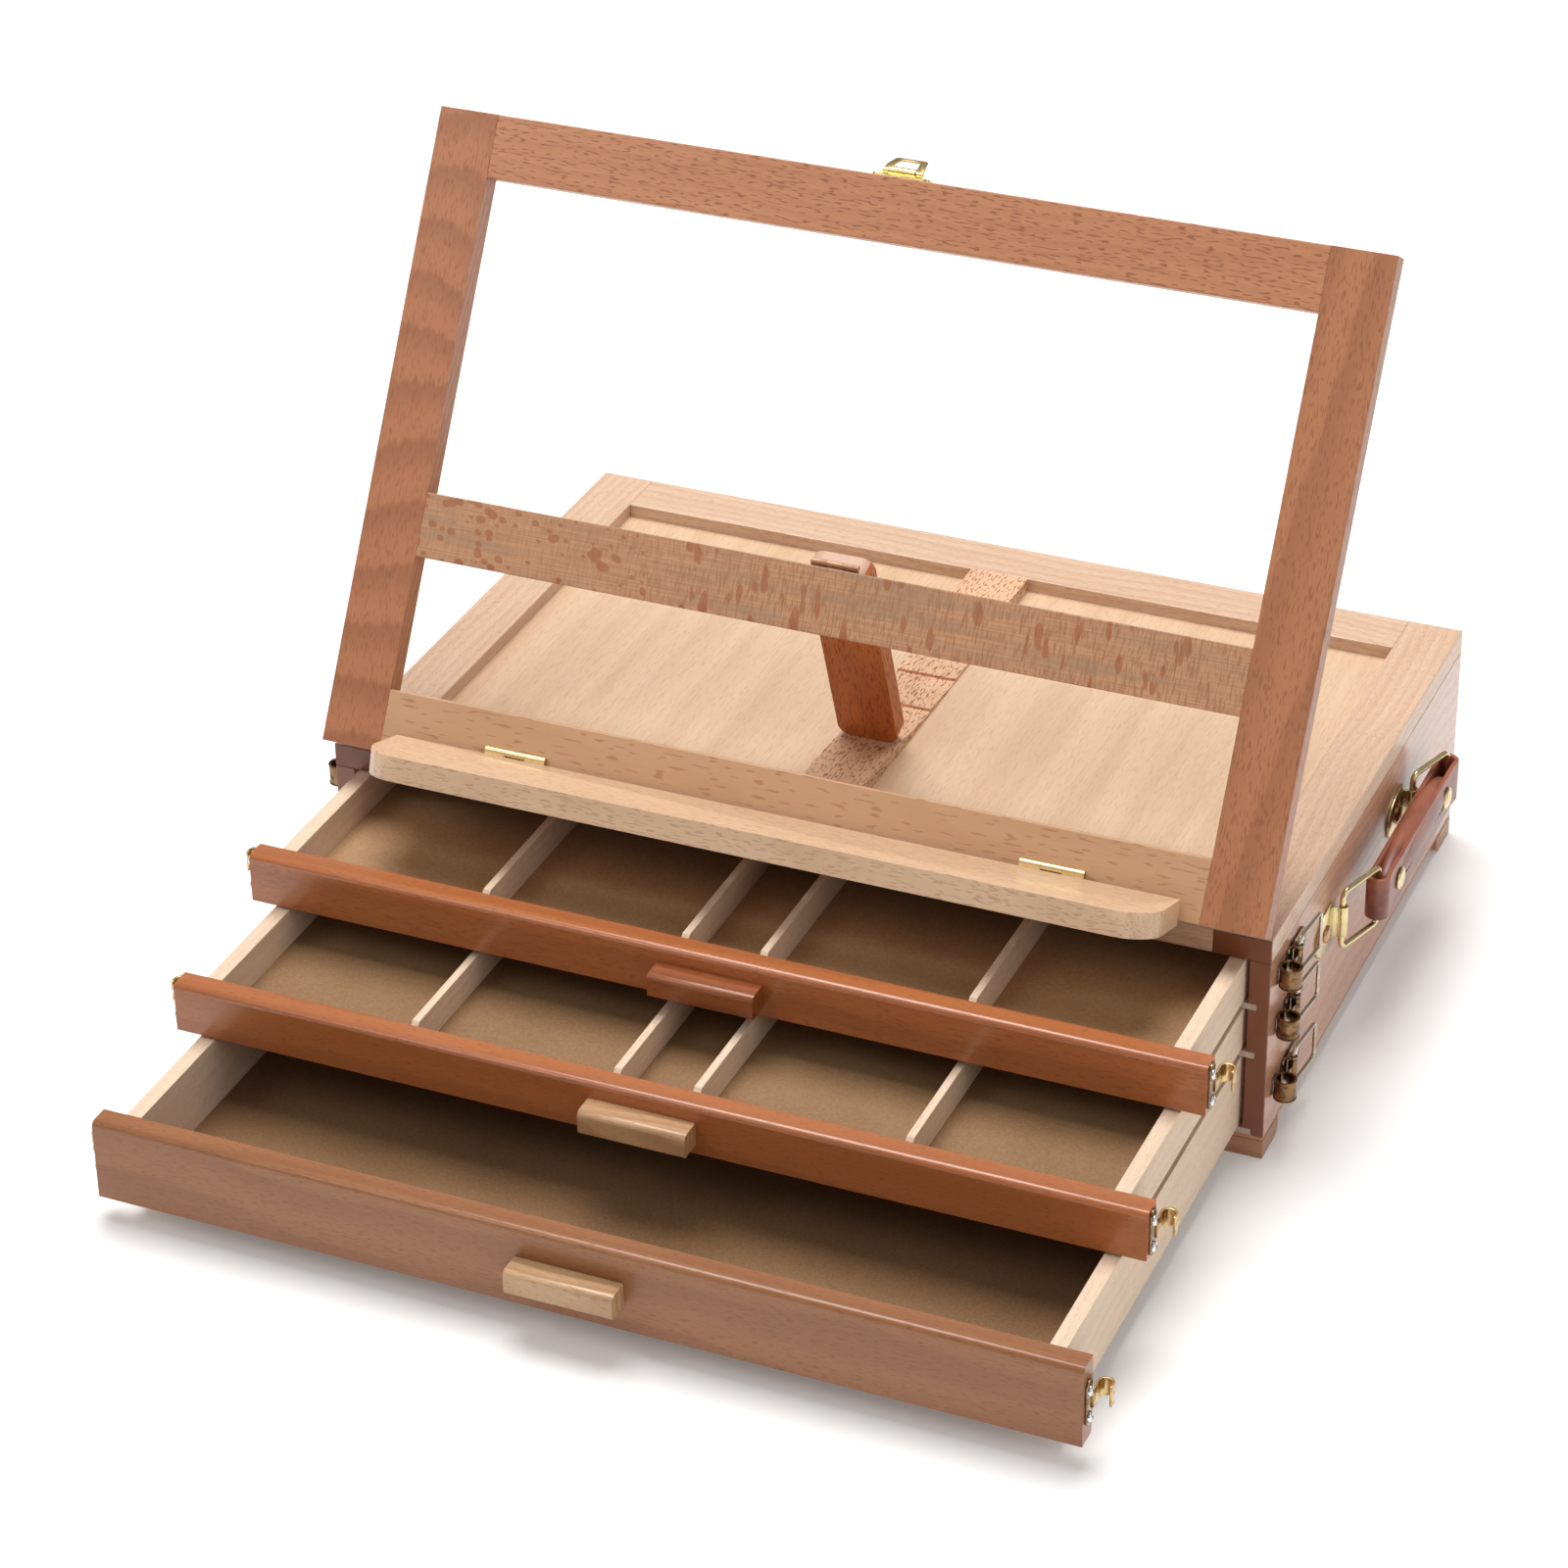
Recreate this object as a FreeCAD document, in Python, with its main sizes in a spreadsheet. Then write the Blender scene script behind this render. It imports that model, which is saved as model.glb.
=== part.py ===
import FreeCAD, Part
import os
import re
import Sketcher

# Table-top box easel with a tilting picture frame, a folding ledge, a folding prop,
# three drawers, a strap handle and six drawer latches.
# Millimetres, +Z up.  X = 0 is the middle of the case, Y = 0 its mid depth, -Y the drawer side,
# +X the handle side, and Z = 0 the floor under the feet.

os.makedirs("parts", exist_ok=True)
doc = FreeCAD.newDocument("easel")

DIMS = {
    # case
    "case_w": 400.0, "case_d": 262.6, "case_top": 100.0, "foot_h": 8.0, "foot_l": 20.0,
    "foot_round": 5.0, "base_t": 2.0, "side_t": 8.4, "frame_t": 10.0, "stile_w": 23.5,
    "rail_w": 25.0, "centre_w": 26.0, "inset_t": 4.0,
    # toothed bed of the centre rail (heights are under the rail top)
    "bed_front": -36.5, "tooth_pitch": 28.2, "tooth_cut": 1.2, "bed_peak_1": 2.4,
    "bed_peak_2": 3.8, "bed_peak_3": 4.4, "bed_peak_4": 4.1, "bed_back": 80.0, "bed_lip": 1.2,
    "bed_lip_l": 3.5, "bed_rest": 2.1, "bed_start": -66.0,
    # drawers: bottoms, heights and rest positions of the front faces
    "bottom_1": 68.4, "bottom_2": 46.2, "bottom_3": 10.6, "height_1": 21.0, "height_2": 21.0,
    "height_3": 34.4, "face_1": -206.0, "face_2": -270.0, "face_3": -336.0,
    "front_w": 399.0, "front_t": 9.5, "front_round": 2.4, "wall_x": 189.7, "wall_t": 6.4,
    "wall_lift": 2.2, "wall_l": 252.0, "floor_t": 3.0, "divider_t": 3.2, "divider_in": 16.5,
    "divider_out": 102.0, "divider_drop": 2.0, "divider_nose": 6.0, "pull_w": 44.0,
    "pull_d": 10.0, "pull_h": 9.8, "pull_round": 2.4, "pull_drop": 7.0, "pull_drop_3": 13.0,
    "runner_in": 186.2, "runner_out": 195.0, "runner_h": 2.6, "runner_drop": 0.6,
    "runner_end": 120.0,
    # drawer strikes
    "strike_t": 1.0, "strike_w": 5.5, "strike_h": 20.0, "strike_y": 1.8, "strike_screw_z": 5.8,
    "strike_screw_y": 3.8, "pan_r": 2.1, "pan_h": 1.3, "hook_y": 12.4, "hook_x": 203.5,
    "hook_r": 3.2, "hook_wall": 1.0, "hook_h": 8.8, "hook_leg": 6.4, "hook_lip": 2.5,
    # latches
    "latch_1": 79.2, "latch_2": 56.5, "latch_3": 27.7, "pin_x": 203.2, "pin_y": -106.0,
    "base_y0": -112.0, "base_y1": -90.0, "base_h": 11.2, "plate_t": 1.0, "ear_in": 4.6,
    "ear_t": 1.0, "ear_r": 1.9, "ear_bore": 0.88, "wire_r": 0.8, "loop_l": 22.4, "loop_z": 8.0,
    "loop_corner": 2.4, "loop_rest": 5.0, "barrel_r": 1.9, "barrel_bore": 0.88,
    "lever_h": 8.8, "lever_l": 14.1, "lever_t": 0.9, "curl_r": 4.4, "curl_wall": 0.9,
    "lever_rest": 173.9,
    # picture frame
    "tilt": 59.6, "frame_y": -141.4, "frame_z": 107.5, "frame_l": 260.5, "frame_d": 9.7,
    "frame_stile": 26.0, "bottom_rail": 25.5, "mid_v0": 80.1, "mid_v1": 106.4,
    "top_v0": 234.9, "edge_round": 1.0,
    # frame hinge
    "hinge_y": -132.8, "hinge_z": 100.6, "hinge_x": 120.0, "hinge_w": 26.0, "leaf_t": 0.85,
    "leaf_l": 14.0, "knuckle_r": 1.4, "knuckle_pin": 0.6, "knuckle_bore": 0.68,
    "hinge_v": -1.62, "hinge_n": -10.88,
    # ledge
    "ledge_v": 9.9, "ledge_n": 1.6, "ledge_slope": 18.7, "ledge_l": 331.6, "ledge_gap": 1.5,
    "ledge_end": 36.4, "ledge_top": 1.3, "ledge_t": 10.3, "ledge_corner": 15.6,
    "ledge_hinge_x": 113.7, "ledge_hinge_w": 26.2, "ledge_knuckle": 1.6, "ledge_leaf": 0.5,
    # prop
    "prop_v": 108.2, "prop_n": -9.4, "prop_angle": 70.4, "prop_w": 26.0, "prop_t": 8.5,
    "prop_face": 0.3, "prop_start": 2.5, "prop_end": 103.4, "prop_corner": 5.5,
    "prop_leaf": 0.7, "prop_leaf_l": 14.0, "prop_knuckle": 1.3,
    # clasp
    "clasp_x0": -13.0, "clasp_x1": 11.0, "clasp_t": 1.0, "clasp_v": 263.2, "clasp_n": -6.0,
    "clasp_rest": 60.0, "clasp_l": 11.5, "clasp_half": 8.0, "clasp_mid": -1.7,
    "clasp_in": 1.2, "clasp_corner": 2.0, "sleeve_l": 11.0, "sleeve_r": 1.9, "sleeve_bore": 0.88,
    "keeper_w": 10.0, "keeper_t": 0.8, "keeper_low": 86.0, "keeper_high": 97.0,
    "shelf_low": 89.0, "shelf_high": 90.5, "shelf_out": 4.9, "lip_high": 95.8,
    # handle
    "ring_x": 203.9, "ring_front": -48.5, "ring_rear": 49.0, "handle_z": 62.0,
    "ring_r": 1.2, "ring_half": 13.0, "ring_l": 25.2, "ring_corner": 3.0, "ring_rest": 17.6,
    "strap_t": 9.8, "strap_h": 18.6, "strap_over": 5.2, "strap_bore": 1.28,
    "strap_bore_rear": 1.7, "rivet_r": 4.8, "rivet_h": 1.4, "rivet_in": 15.0,
    "mount_l": 24.0, "mount_h": 19.0, "mount_curl": 2.4, "mount_bore": 1.28,
    "mount_curl_h": 14.0, "mount_screw": 12.0, "dome_r": 3.6,
}

sheet = doc.addObject("Spreadsheet::Sheet", "Dims")
for row, (alias, value) in enumerate(DIMS.items(), start=1):
    cell = "A%d" % row
    sheet.set(cell, repr(value))
    sheet.setAlias(cell, alias)
doc.recompute()

PLANES = {"XY": "XY_Plane", "YZ": "YZ_Plane"}
made = {"count": 0}


def bound(text):
    """The expression with every sheet alias written as Dims.alias."""
    return re.sub(r"[a-z]\w*", lambda m: "Dims." + m.group(0) if m.group(0) in DIMS else m.group(0),
                  str(text))


def amount(text):
    """The present value of an expression, as a plain number."""
    return float(sheet.evalExpression(bound(text)))


def fresh(prefix):
    """A new internal object name."""
    made["count"] += 1
    return "%s_%03d" % (prefix, made["count"])


def bind(obj, **exprs):
    for prop, text in exprs.items():
        obj.setExpression(prop.replace("__", "."), bound(text))


def seat(obj, x, y, z):
    """Bind the object's position to three expressions."""
    bind(obj, Placement__Base__x=x, Placement__Base__y=y, Placement__Base__z=z)


def mirrored(low, high, side):
    """The X range low..high on the right (side 1), or its mirror on the left (side -1)."""
    if side > 0:
        return low, high
    return "-(%s)" % high, "-(%s)" % low


def box(x0, x1, y0, y1, z0, z1):
    """Plain block between two corners."""
    obj = doc.addObject("Part::Box", fresh("Block"))
    bind(obj, Length="(%s) - (%s)" % (x1, x0), Width="(%s) - (%s)" % (y1, y0),
         Height="(%s) - (%s)" % (z1, z0))
    seat(obj, x0, y0, z0)
    return obj


TURNS = {"x": FreeCAD.Rotation(FreeCAD.Vector(0, 1, 0), 90),
         "y": FreeCAD.Rotation(FreeCAD.Vector(1, 0, 0), -90),
         "z": FreeCAD.Rotation()}


def rod(axis, x, y, z, radius, length):
    """Cylinder along an axis, starting at a point."""
    obj = doc.addObject("Part::Cylinder", fresh("Rod"))
    obj.Placement = FreeCAD.Placement(FreeCAD.Vector(), TURNS[axis])
    bind(obj, Radius=radius, Height=length)
    seat(obj, x, y, z)
    return obj


def elbow(y, z, start, corner, radius):
    """Quarter torus in the YZ plane about a corner centre, from a start angle."""
    obj = doc.addObject("Part::Torus", fresh("Elbow"))
    spin = FreeCAD.Rotation(FreeCAD.Vector(0, 0, 1), start)
    stand = FreeCAD.Rotation(FreeCAD.Vector(1, 1, 1), 120)
    obj.Placement = FreeCAD.Placement(FreeCAD.Vector(), stand * spin)
    bind(obj, Radius1=corner, Radius2=radius)
    obj.Angle3 = 90
    seat(obj, "0", y, z)
    return obj


def fuse(*shapes):
    if len(shapes) == 1:
        return shapes[0]
    obj = doc.addObject("Part::MultiFuse", fresh("Joined"))
    obj.Shapes = list(shapes)
    return obj


def cut(base, *tools):
    obj = doc.addObject("Part::Cut", fresh("Cut"))
    obj.Base = base
    obj.Tool = fuse(*tools)
    return obj


def origin_plane(body, name):
    return [f for f in body.Origin.OriginFeatures if f.Role == PLANES[name]][0]


def outline(sketch, points):
    """Closed polyline through (x, y) expressions, each point tied to the sketch origin."""
    values = [FreeCAD.Vector(amount(x), amount(y), 0) for x, y in points]
    last = len(points) - 1
    for i in range(len(points)):
        sketch.addGeometry(Part.LineSegment(values[i], values[0 if i == last else i + 1]), False)
    for i in range(len(points)):
        sketch.addConstraint(Sketcher.Constraint("Coincident", i, 2, 0 if i == last else i + 1, 1))
    for i, (x, y) in enumerate(points):
        for kind, text, value, axis in (("DistanceX", x, values[i].x, -2),
                                        ("DistanceY", y, values[i].y, -1)):
            if abs(value) < 1e-9:
                sketch.addConstraint(Sketcher.Constraint("PointOnObject", i, 1, axis))
                continue
            if value > 0:
                rule = Sketcher.Constraint(kind, -1, 1, i, 1, value)
            else:
                rule = Sketcher.Constraint(kind, i, 1, -1, 1, -value)
                text = "-(%s)" % text
            number = sketch.addConstraint(rule)
            sketch.setExpression("Constraints[%d]" % number, bound(text))


def padded(points, length, plane="XY"):
    """Body with one padded outline; returns the body and its pad."""
    body = doc.addObject("PartDesign::Body", fresh("Piece"))
    sketch = body.newObject("Sketcher::SketchObject", fresh("Outline"))
    sketch.AttachmentSupport = (origin_plane(body, plane), [""])
    sketch.MapMode = "FlatFace"
    outline(sketch, points)
    pad = body.newObject("PartDesign::Pad", fresh("Pad"))
    pad.Profile = sketch
    bind(pad, Length=length)
    doc.recompute()
    return body, pad


def matching(shape, **want):
    """Names of the edges whose middles lie on the wanted sides of the bounding box."""
    limits = shape.BoundBox
    ends = {"x": (limits.XMin, limits.XMax), "y": (limits.YMin, limits.YMax),
            "z": (limits.ZMin, limits.ZMax)}
    names = []
    for i, edge in enumerate(shape.Edges, start=1):
        middle = edge.BoundBox.Center
        spot = {"x": middle.x, "y": middle.y, "z": middle.z}
        good = True
        for axis, end in want.items():
            choices = ends[axis] if end == "both" else (ends[axis][0 if end == "min" else 1],)
            good = good and min(abs(spot[axis] - c) for c in choices) < 1e-4
        if good:
            names.append("Edge%d" % i)
    return names


def board(x0, x1, y0, y1, z0, z1, *rounds):
    """Sketched and padded board; rounds are (radius, {axis: side}) or (-chamfer, {...})."""
    wide = "(%s) - (%s)" % (x1, x0)
    deep = "(%s) - (%s)" % (y1, y0)
    corners = [("0", "0"), (wide, "0"), (wide, deep), ("0", deep)]
    body, last = padded(corners, "(%s) - (%s)" % (z1, z0))
    for radius, where in rounds:
        bevel = str(radius).startswith("-")
        feature = body.newObject("PartDesign::Chamfer" if bevel else "PartDesign::Fillet",
                                 fresh("Edge"))
        feature.Base = (last, matching(last.Shape, **where))
        bind(feature, **{"Size" if bevel else "Radius": str(radius).lstrip("-")})
        doc.recompute()
        last = feature
    seat(body, x0, y0, z0)
    return body


def frame_of(axis, angle, x, y, z):
    return {"axis": FreeCAD.Vector(*axis), "angle": angle, "at": (x, y, z)}


nodes = []


def node(label, parts, frame=None):
    """One named sub-part, holding its solids and standing in its own frame."""
    group = doc.addObject("Part::Compound", label)
    group.Label = label
    group.Links = parts
    if frame:
        group.Placement = FreeCAD.Placement(FreeCAD.Vector(),
                                            FreeCAD.Rotation(frame["axis"], amount(frame["angle"])))
        seat(group, *frame["at"])
        bind(group, Placement__Rotation__Angle=frame["angle"])
    nodes.append(group)
    return group


def on_frame(v, n):
    """Y and Z of a point of the picture frame, v up its face and n out of its face."""
    y = "frame_y + (%s)*cos(tilt) - (%s)*sin(tilt)" % (v, n)
    z = "frame_z + (%s)*sin(tilt) + (%s)*cos(tilt)" % (v, n)
    return y, z


BACK = "case_d / 2"
FRONT = "-case_d / 2"
HALF = "case_w / 2"
SHELF = "case_top - frame_t"
FLOOR = "foot_h + base_t"
SIDES = (("left", -1), ("right", 1))
LEVELS = (1, 2, 3)


# ---------------------------------------------------------------- case
def runner(side, level):
    x0, x1 = mirrored("runner_in", "runner_out", side)
    z0 = "bottom_%d - runner_drop" % level
    return box(x0, x1, FRONT, "runner_end", z0, "%s + runner_h" % z0)


def build_case():
    for name, side in SIDES:
        x0, x1 = mirrored(HALF + " - side_t", HALF, side)
        panel = box(x0, x1, FRONT, BACK, FLOOR, SHELF)
        node("case_side_" + name, [cut(panel, *[runner(side, level) for level in LEVELS])])
    inner = HALF + " - side_t"
    node("case_back", [box("-(%s)" % inner, inner, BACK + " - side_t", BACK, FLOOR, SHELF)])
    node("case_base", [box("-" + HALF, HALF, FRONT, BACK, "foot_h", FLOOR)])
    stiles = []
    for name, side in SIDES:
        x0, x1 = mirrored(HALF + " - stile_w", HALF, side)
        stiles.append(box(x0, x1, FRONT, BACK, SHELF, "case_top"))
    node("case_top_stiles", stiles)
    reach = HALF + " - stile_w"
    for name, y0, y1 in (("front", FRONT, FRONT + " + rail_w"), ("back", BACK + " - rail_w", BACK)):
        node("case_top_rail_" + name, [box("-(%s)" % reach, reach, y0, y1, SHELF, "case_top")])
    insets = []
    for name, side in SIDES:
        x0, x1 = mirrored("centre_w / 2", reach, side)
        insets.append(box(x0, x1, FRONT + " + rail_w", BACK + " - rail_w", SHELF,
                          SHELF + " + inset_t"))
    node("case_inset_panels", insets)
    node("case_centre_rail", [centre_rail()])
    node("case_drawer_runners", [runner(side, level) for name, side in SIDES for level in LEVELS])
    feet = []
    for name, side in SIDES:
        x0, x1 = mirrored(HALF + " - foot_l", HALF, side)
        feet.append(board(x0, x1, FRONT, FRONT + " + foot_l", "0", "foot_h",
                          ("foot_round", {"y": "max", "z": "min"})))
        feet.append(board(x0, x1, BACK + " - foot_l", BACK, "0", "foot_h",
                          ("foot_round", {"y": "min", "z": "min"})))
    node("case_feet", feet)


def centre_rail():
    """Middle rail with the stepped bed that the prop stands on."""
    front = "case_d / 2 - rail_w"
    points = [("-(%s)" % front, "0"), (front, "0"), (front, "frame_t"), ("bed_back", "frame_t"),
              ("bed_back - bed_lip_l", "frame_t - bed_lip")]
    for tooth in (4, 3, 2):
        start = "bed_front + tooth_pitch * %d" % (tooth - 1)
        peak = "frame_t - bed_peak_%d" % tooth
        points.append((start, peak))
        points.append((start, peak + " - tooth_cut"))
    points.append(("bed_front", "frame_t - bed_peak_1"))
    points.append(("bed_front", "frame_t - bed_rest"))
    points.append(("bed_start", "frame_t"))
    points.append(("-(%s)" % front, "frame_t"))
    body, pad = padded(points, "centre_w", "YZ")
    seat(body, "-centre_w / 2", "0", SHELF)
    return body


# ---------------------------------------------------------------- hinges
def knuckles(x, y, z, width, radius, bore, pin, middle):
    """Middle knuckle with its pin, or the two end knuckles with a bore."""
    third = "(%s) / 3" % width
    start = "(%s) - (%s) / 2" % (x, width)
    if middle:
        barrel = rod("x", "%s + %s + 0.1" % (start, third), y, z, radius, "%s - 0.2" % third)
        return fuse(barrel, rod("x", start, y, z, pin, width))
    ends = [rod("x", start, y, z, radius, third),
            rod("x", "%s + 2 * %s" % (start, third), y, z, radius, third)]
    hole = rod("x", start, y, z, bore, width)
    return cut(fuse(*ends), hole)


def end_strips(x, width, y0, y1, z0, z1):
    third = "(%s) / 3" % width
    start = "(%s) - (%s) / 2" % (x, width)
    far = "(%s) + (%s) / 2" % (x, width)
    return [box(start, "%s + %s" % (start, third), y0, y1, z0, z1),
            box("%s - %s" % (far, third), far, y0, y1, z0, z1)]


def middle_strip(x, width, y0, y1, z0, z1):
    third = "(%s) / 3" % width
    return box("(%s) - %s / 2 + 0.1" % (x, third), "(%s) + %s / 2 - 0.1" % (x, third),
               y0, y1, z0, z1)


def bored(shapes, x, y, z, width, bore):
    return cut(fuse(*shapes), rod("x", "(%s) - (%s) / 2 - 1" % (x, width), y, z, bore,
                                  "(%s) + 2" % width))


def build_case_hinges():
    leaves = []
    for name, side in SIDES:
        x = "%d * hinge_x" % side
        leaf = box("%s - hinge_w / 2" % x, "%s + hinge_w / 2" % x, FRONT, FRONT + " + leaf_l",
                   "case_top", "case_top + leaf_t")
        link = middle_strip(x, "hinge_w", "hinge_y", FRONT, "case_top", "case_top + leaf_t")
        knuckle = knuckles(x, "hinge_y", "hinge_z", "hinge_w", "knuckle_r", "knuckle_bore",
                           "knuckle_pin", True)
        leaves.append(fuse(leaf, link, knuckle))
    node("case_frame_hinges", leaves)


# ---------------------------------------------------------------- picture frame
FRAME = frame_of((1, 0, 0), "tilt", "0", "frame_y", "frame_z")


def build_frame():
    inner = HALF + " - frame_stile"
    for name, side in SIDES:
        x0, x1 = mirrored(inner, HALF, side)
        outside = "max" if side > 0 else "min"
        stile = board(x0, x1, "0", "frame_l", "-frame_d", "0",
                      ("edge_round", {"z": "max", "x": outside}))
        node("frame_stile_" + name, [stile], FRAME)
    for name, v0, v1 in (("bottom_rail", "0", "bottom_rail"), ("mid_bar", "mid_v0", "mid_v1"),
                         ("top_rail", "top_v0", "frame_l")):
        node("frame_" + name, [box("-(%s)" % inner, inner, v0, v1, "-frame_d", "0")], FRAME)
    node("frame_hinge_leaves", frame_leaves(), FRAME)
    plate = board("clasp_x0", "clasp_x1", "frame_l", "frame_l + clasp_t", "-frame_d + clasp_in",
                  "-clasp_in", ("clasp_corner", {"x": "both", "z": "both"}))
    sleeve = rod("x", "clasp_mid - sleeve_l / 2", "clasp_v", "clasp_n", "sleeve_r", "sleeve_l")
    bore = rod("x", "clasp_mid - sleeve_l / 2 - 1", "clasp_v", "clasp_n", "sleeve_bore",
               "sleeve_l + 2")
    node("frame_clasp_plate", [cut(fuse(plate, sleeve), bore)], FRAME)


def frame_leaves():
    """The brass leaves that ride on the picture frame: frame, ledge and prop hinges."""
    parts = []
    for name, side in SIDES:
        x = "%d * hinge_x" % side
        leaf = box("%s - hinge_w / 2" % x, "%s + hinge_w / 2" % x, "0", "leaf_l",
                   "-frame_d - leaf_t", "-frame_d")
        strips = end_strips(x, "hinge_w", "hinge_v", "0", "-frame_d - leaf_t", "-frame_d")
        ends = knuckles(x, "hinge_v", "hinge_n", "hinge_w", "knuckle_r", "knuckle_bore",
                        "knuckle_pin", False)
        parts.append(bored([leaf, ends] + strips, x, "hinge_v", "hinge_n", "hinge_w",
                           "knuckle_bore"))
    for name, side in SIDES:
        x = "%d * ledge_hinge_x" % side
        leaf = box("%s - ledge_hinge_w / 2" % x, "%s + ledge_hinge_w / 2" % x, "1", "ledge_v - 1.8",
                   "0", "ledge_leaf")
        link = middle_strip(x, "ledge_hinge_w", "ledge_v - 2", "ledge_v", "0", "ledge_leaf")
        knuckle = knuckles(x, "ledge_v", "ledge_n", "ledge_hinge_w", "ledge_knuckle", "0.8", "0.7",
                           True)
        parts.append(fuse(leaf, link, knuckle))
    back = "-frame_d"
    leaf = box("-10", "10", "mid_v1 - prop_leaf_l", "mid_v1 - 1", back + " - prop_leaf", back)
    link = middle_strip("0", "20", "mid_v1 - 1.2", "prop_v", back + " - prop_leaf", back)
    knuckle = knuckles("0", "prop_v", "prop_n", "20", "prop_knuckle", "0.68", "0.6", True)
    parts.append(fuse(leaf, link, knuckle))
    return parts


# ---------------------------------------------------------------- ledge, prop, clasp loop
def build_ledge():
    y, z = on_frame("ledge_v", "ledge_n")
    frame = frame_of((1, 0, 0), "180 - ledge_slope", "0", y, z)
    wood = board("-ledge_l / 2", "ledge_l / 2", "ledge_gap", "ledge_end", "ledge_top",
                 "ledge_top + ledge_t", ("ledge_corner", {"x": "both", "y": "max"}))
    node("ledge_board", [wood], frame)
    parts = []
    for name, side in SIDES:
        x = "%d * ledge_hinge_x" % side
        leaf = box("%s - ledge_hinge_w / 2" % x, "%s + ledge_hinge_w / 2" % x,
                   "ledge_gap - ledge_leaf", "ledge_gap", "ledge_top + 0.7", "9")
        strips = end_strips(x, "ledge_hinge_w", "ledge_gap - ledge_leaf", "ledge_gap", "0",
                            "ledge_top + 0.7")
        ends = knuckles(x, "0", "0", "ledge_hinge_w", "ledge_knuckle", "0.8", "0.7", False)
        parts.append(bored([leaf, ends] + strips, x, "0", "0", "ledge_hinge_w", "0.8"))
    node("ledge_hinge_leaves", parts, frame)


def build_prop():
    y, z = on_frame("prop_v", "prop_n")
    frame = frame_of((-1, 0, 0), "prop_angle", "0", y, z)
    arm = board("-prop_w / 2", "prop_w / 2", "prop_start", "prop_end", "-prop_face",
                "prop_t - prop_face", ("prop_corner", {"x": "both", "y": "both"}))
    node("prop_arm", [arm], frame)
    leaf = box("-10", "10", "prop_start", "prop_leaf_l", "-prop_face - prop_leaf", "-prop_face")
    strips = end_strips("0", "20", "0", "prop_start", "-prop_face - prop_leaf", "-prop_face")
    ends = knuckles("0", "0", "0", "20", "prop_knuckle", "0.68", "0.6", False)
    node("prop_hinge_leaf", [bored([leaf, ends] + strips, "0", "0", "0", "20", "0.68")], frame)


def wire_loop(length, half, corner, radius):
    """Closed rounded rectangle of wire in the YZ plane, its near bar on the Z axis."""
    low, high = "-(%s)" % half, half
    bars = [rod("z", "0", "0", "%s + %s" % (low, corner), radius, "2*(%s - %s)" % (half, corner)),
            rod("z", "0", length, "%s + %s" % (low, corner), radius,
                "2*(%s - %s)" % (half, corner)),
            rod("y", "0", corner, low, radius, "%s - 2*%s" % (length, corner)),
            rod("y", "0", corner, high, radius, "%s - 2*%s" % (length, corner))]
    far, top = "%s - %s" % (length, corner), "%s - %s" % (half, corner)
    bends = [elbow(far, top, 0, corner, radius), elbow(corner, top, 90, corner, radius),
             elbow(corner, "-(%s)" % top, 180, corner, radius),
             elbow(far, "-(%s)" % top, 270, corner, radius)]
    return fuse(*(bars + bends))


def build_clasp():
    y, z = on_frame("clasp_v", "clasp_n")
    frame = frame_of((-1, 0, 0), "clasp_rest - tilt", "clasp_mid", y, z)
    loop = wire_loop("clasp_l", "clasp_half", "loop_corner", "wire_r")
    sideways = doc.addObject("Part::Compound", fresh("Turned"))
    sideways.Links = [loop]
    sideways.Placement = FreeCAD.Placement(FreeCAD.Vector(),
                                           FreeCAD.Rotation(FreeCAD.Vector(0, 1, 0), 90))
    node("clasp_loop", [sideways], frame)
    x0, x1 = "clasp_mid - keeper_w / 2", "clasp_mid + keeper_w / 2"
    end = BACK + " + shelf_out"
    plate = box(x0, x1, BACK, BACK + " + keeper_t", "keeper_low", "keeper_high")
    shelf = box(x0, x1, BACK, end, "shelf_low", "shelf_high")
    lip = box(x0, x1, end + " - keeper_t", end, "shelf_low", "lip_high")
    node("case_clasp_keeper", [fuse(plate, shelf, lip)])


# ---------------------------------------------------------------- drawers
def strike(side, level):
    """End plate with its rear hook and two screw heads, as separate solids."""
    face, z = "face_%d" % level, "latch_%d" % level
    x0, x1 = mirrored("front_w / 2", "front_w / 2 + strike_t", side)
    y0 = face + " + strike_y"
    plate = board(x0, x1, y0, y0 + " + strike_w", z + " - strike_h / 2", z + " + strike_h / 2",
                  ("2.4", {"y": "both", "z": "both"}))
    hx = "%d * hook_x" % side
    hy = face + " + hook_y"
    z0 = z + " - hook_h / 2"
    ring = cut(rod("z", hx, hy, z0, "hook_r", "hook_h"),
               rod("z", hx, hy, z0 + " - 1", "hook_r - hook_wall", "hook_h + 2"),
               box("%s - 5" % hx, "%s + 5" % hx, hy + " - 6", hy, z0 + " - 1", z0 + " + hook_h + 1"))
    in0, in1 = mirrored("hook_x - hook_r", "hook_x - hook_r + hook_wall", side)
    leg = box(in0, in1, hy + " - hook_leg", hy, z0, z0 + " + hook_h")
    out0, out1 = mirrored("hook_x + hook_r - hook_wall", "hook_x + hook_r", side)
    lip = box(out0, out1, hy + " - hook_lip", hy, z0, z0 + " + hook_h")
    heads = []
    for sign in ("-", "+"):
        sx = "front_w / 2 + strike_t" if side > 0 else "-(front_w / 2 + strike_t + pan_h)"
        heads.append(rod("x", sx, face + " + strike_screw_y", "%s %s strike_screw_z" % (z, sign),
                         "pan_r", "pan_h"))
    return [fuse(plate, ring, leg, lip)] + heads


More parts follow.
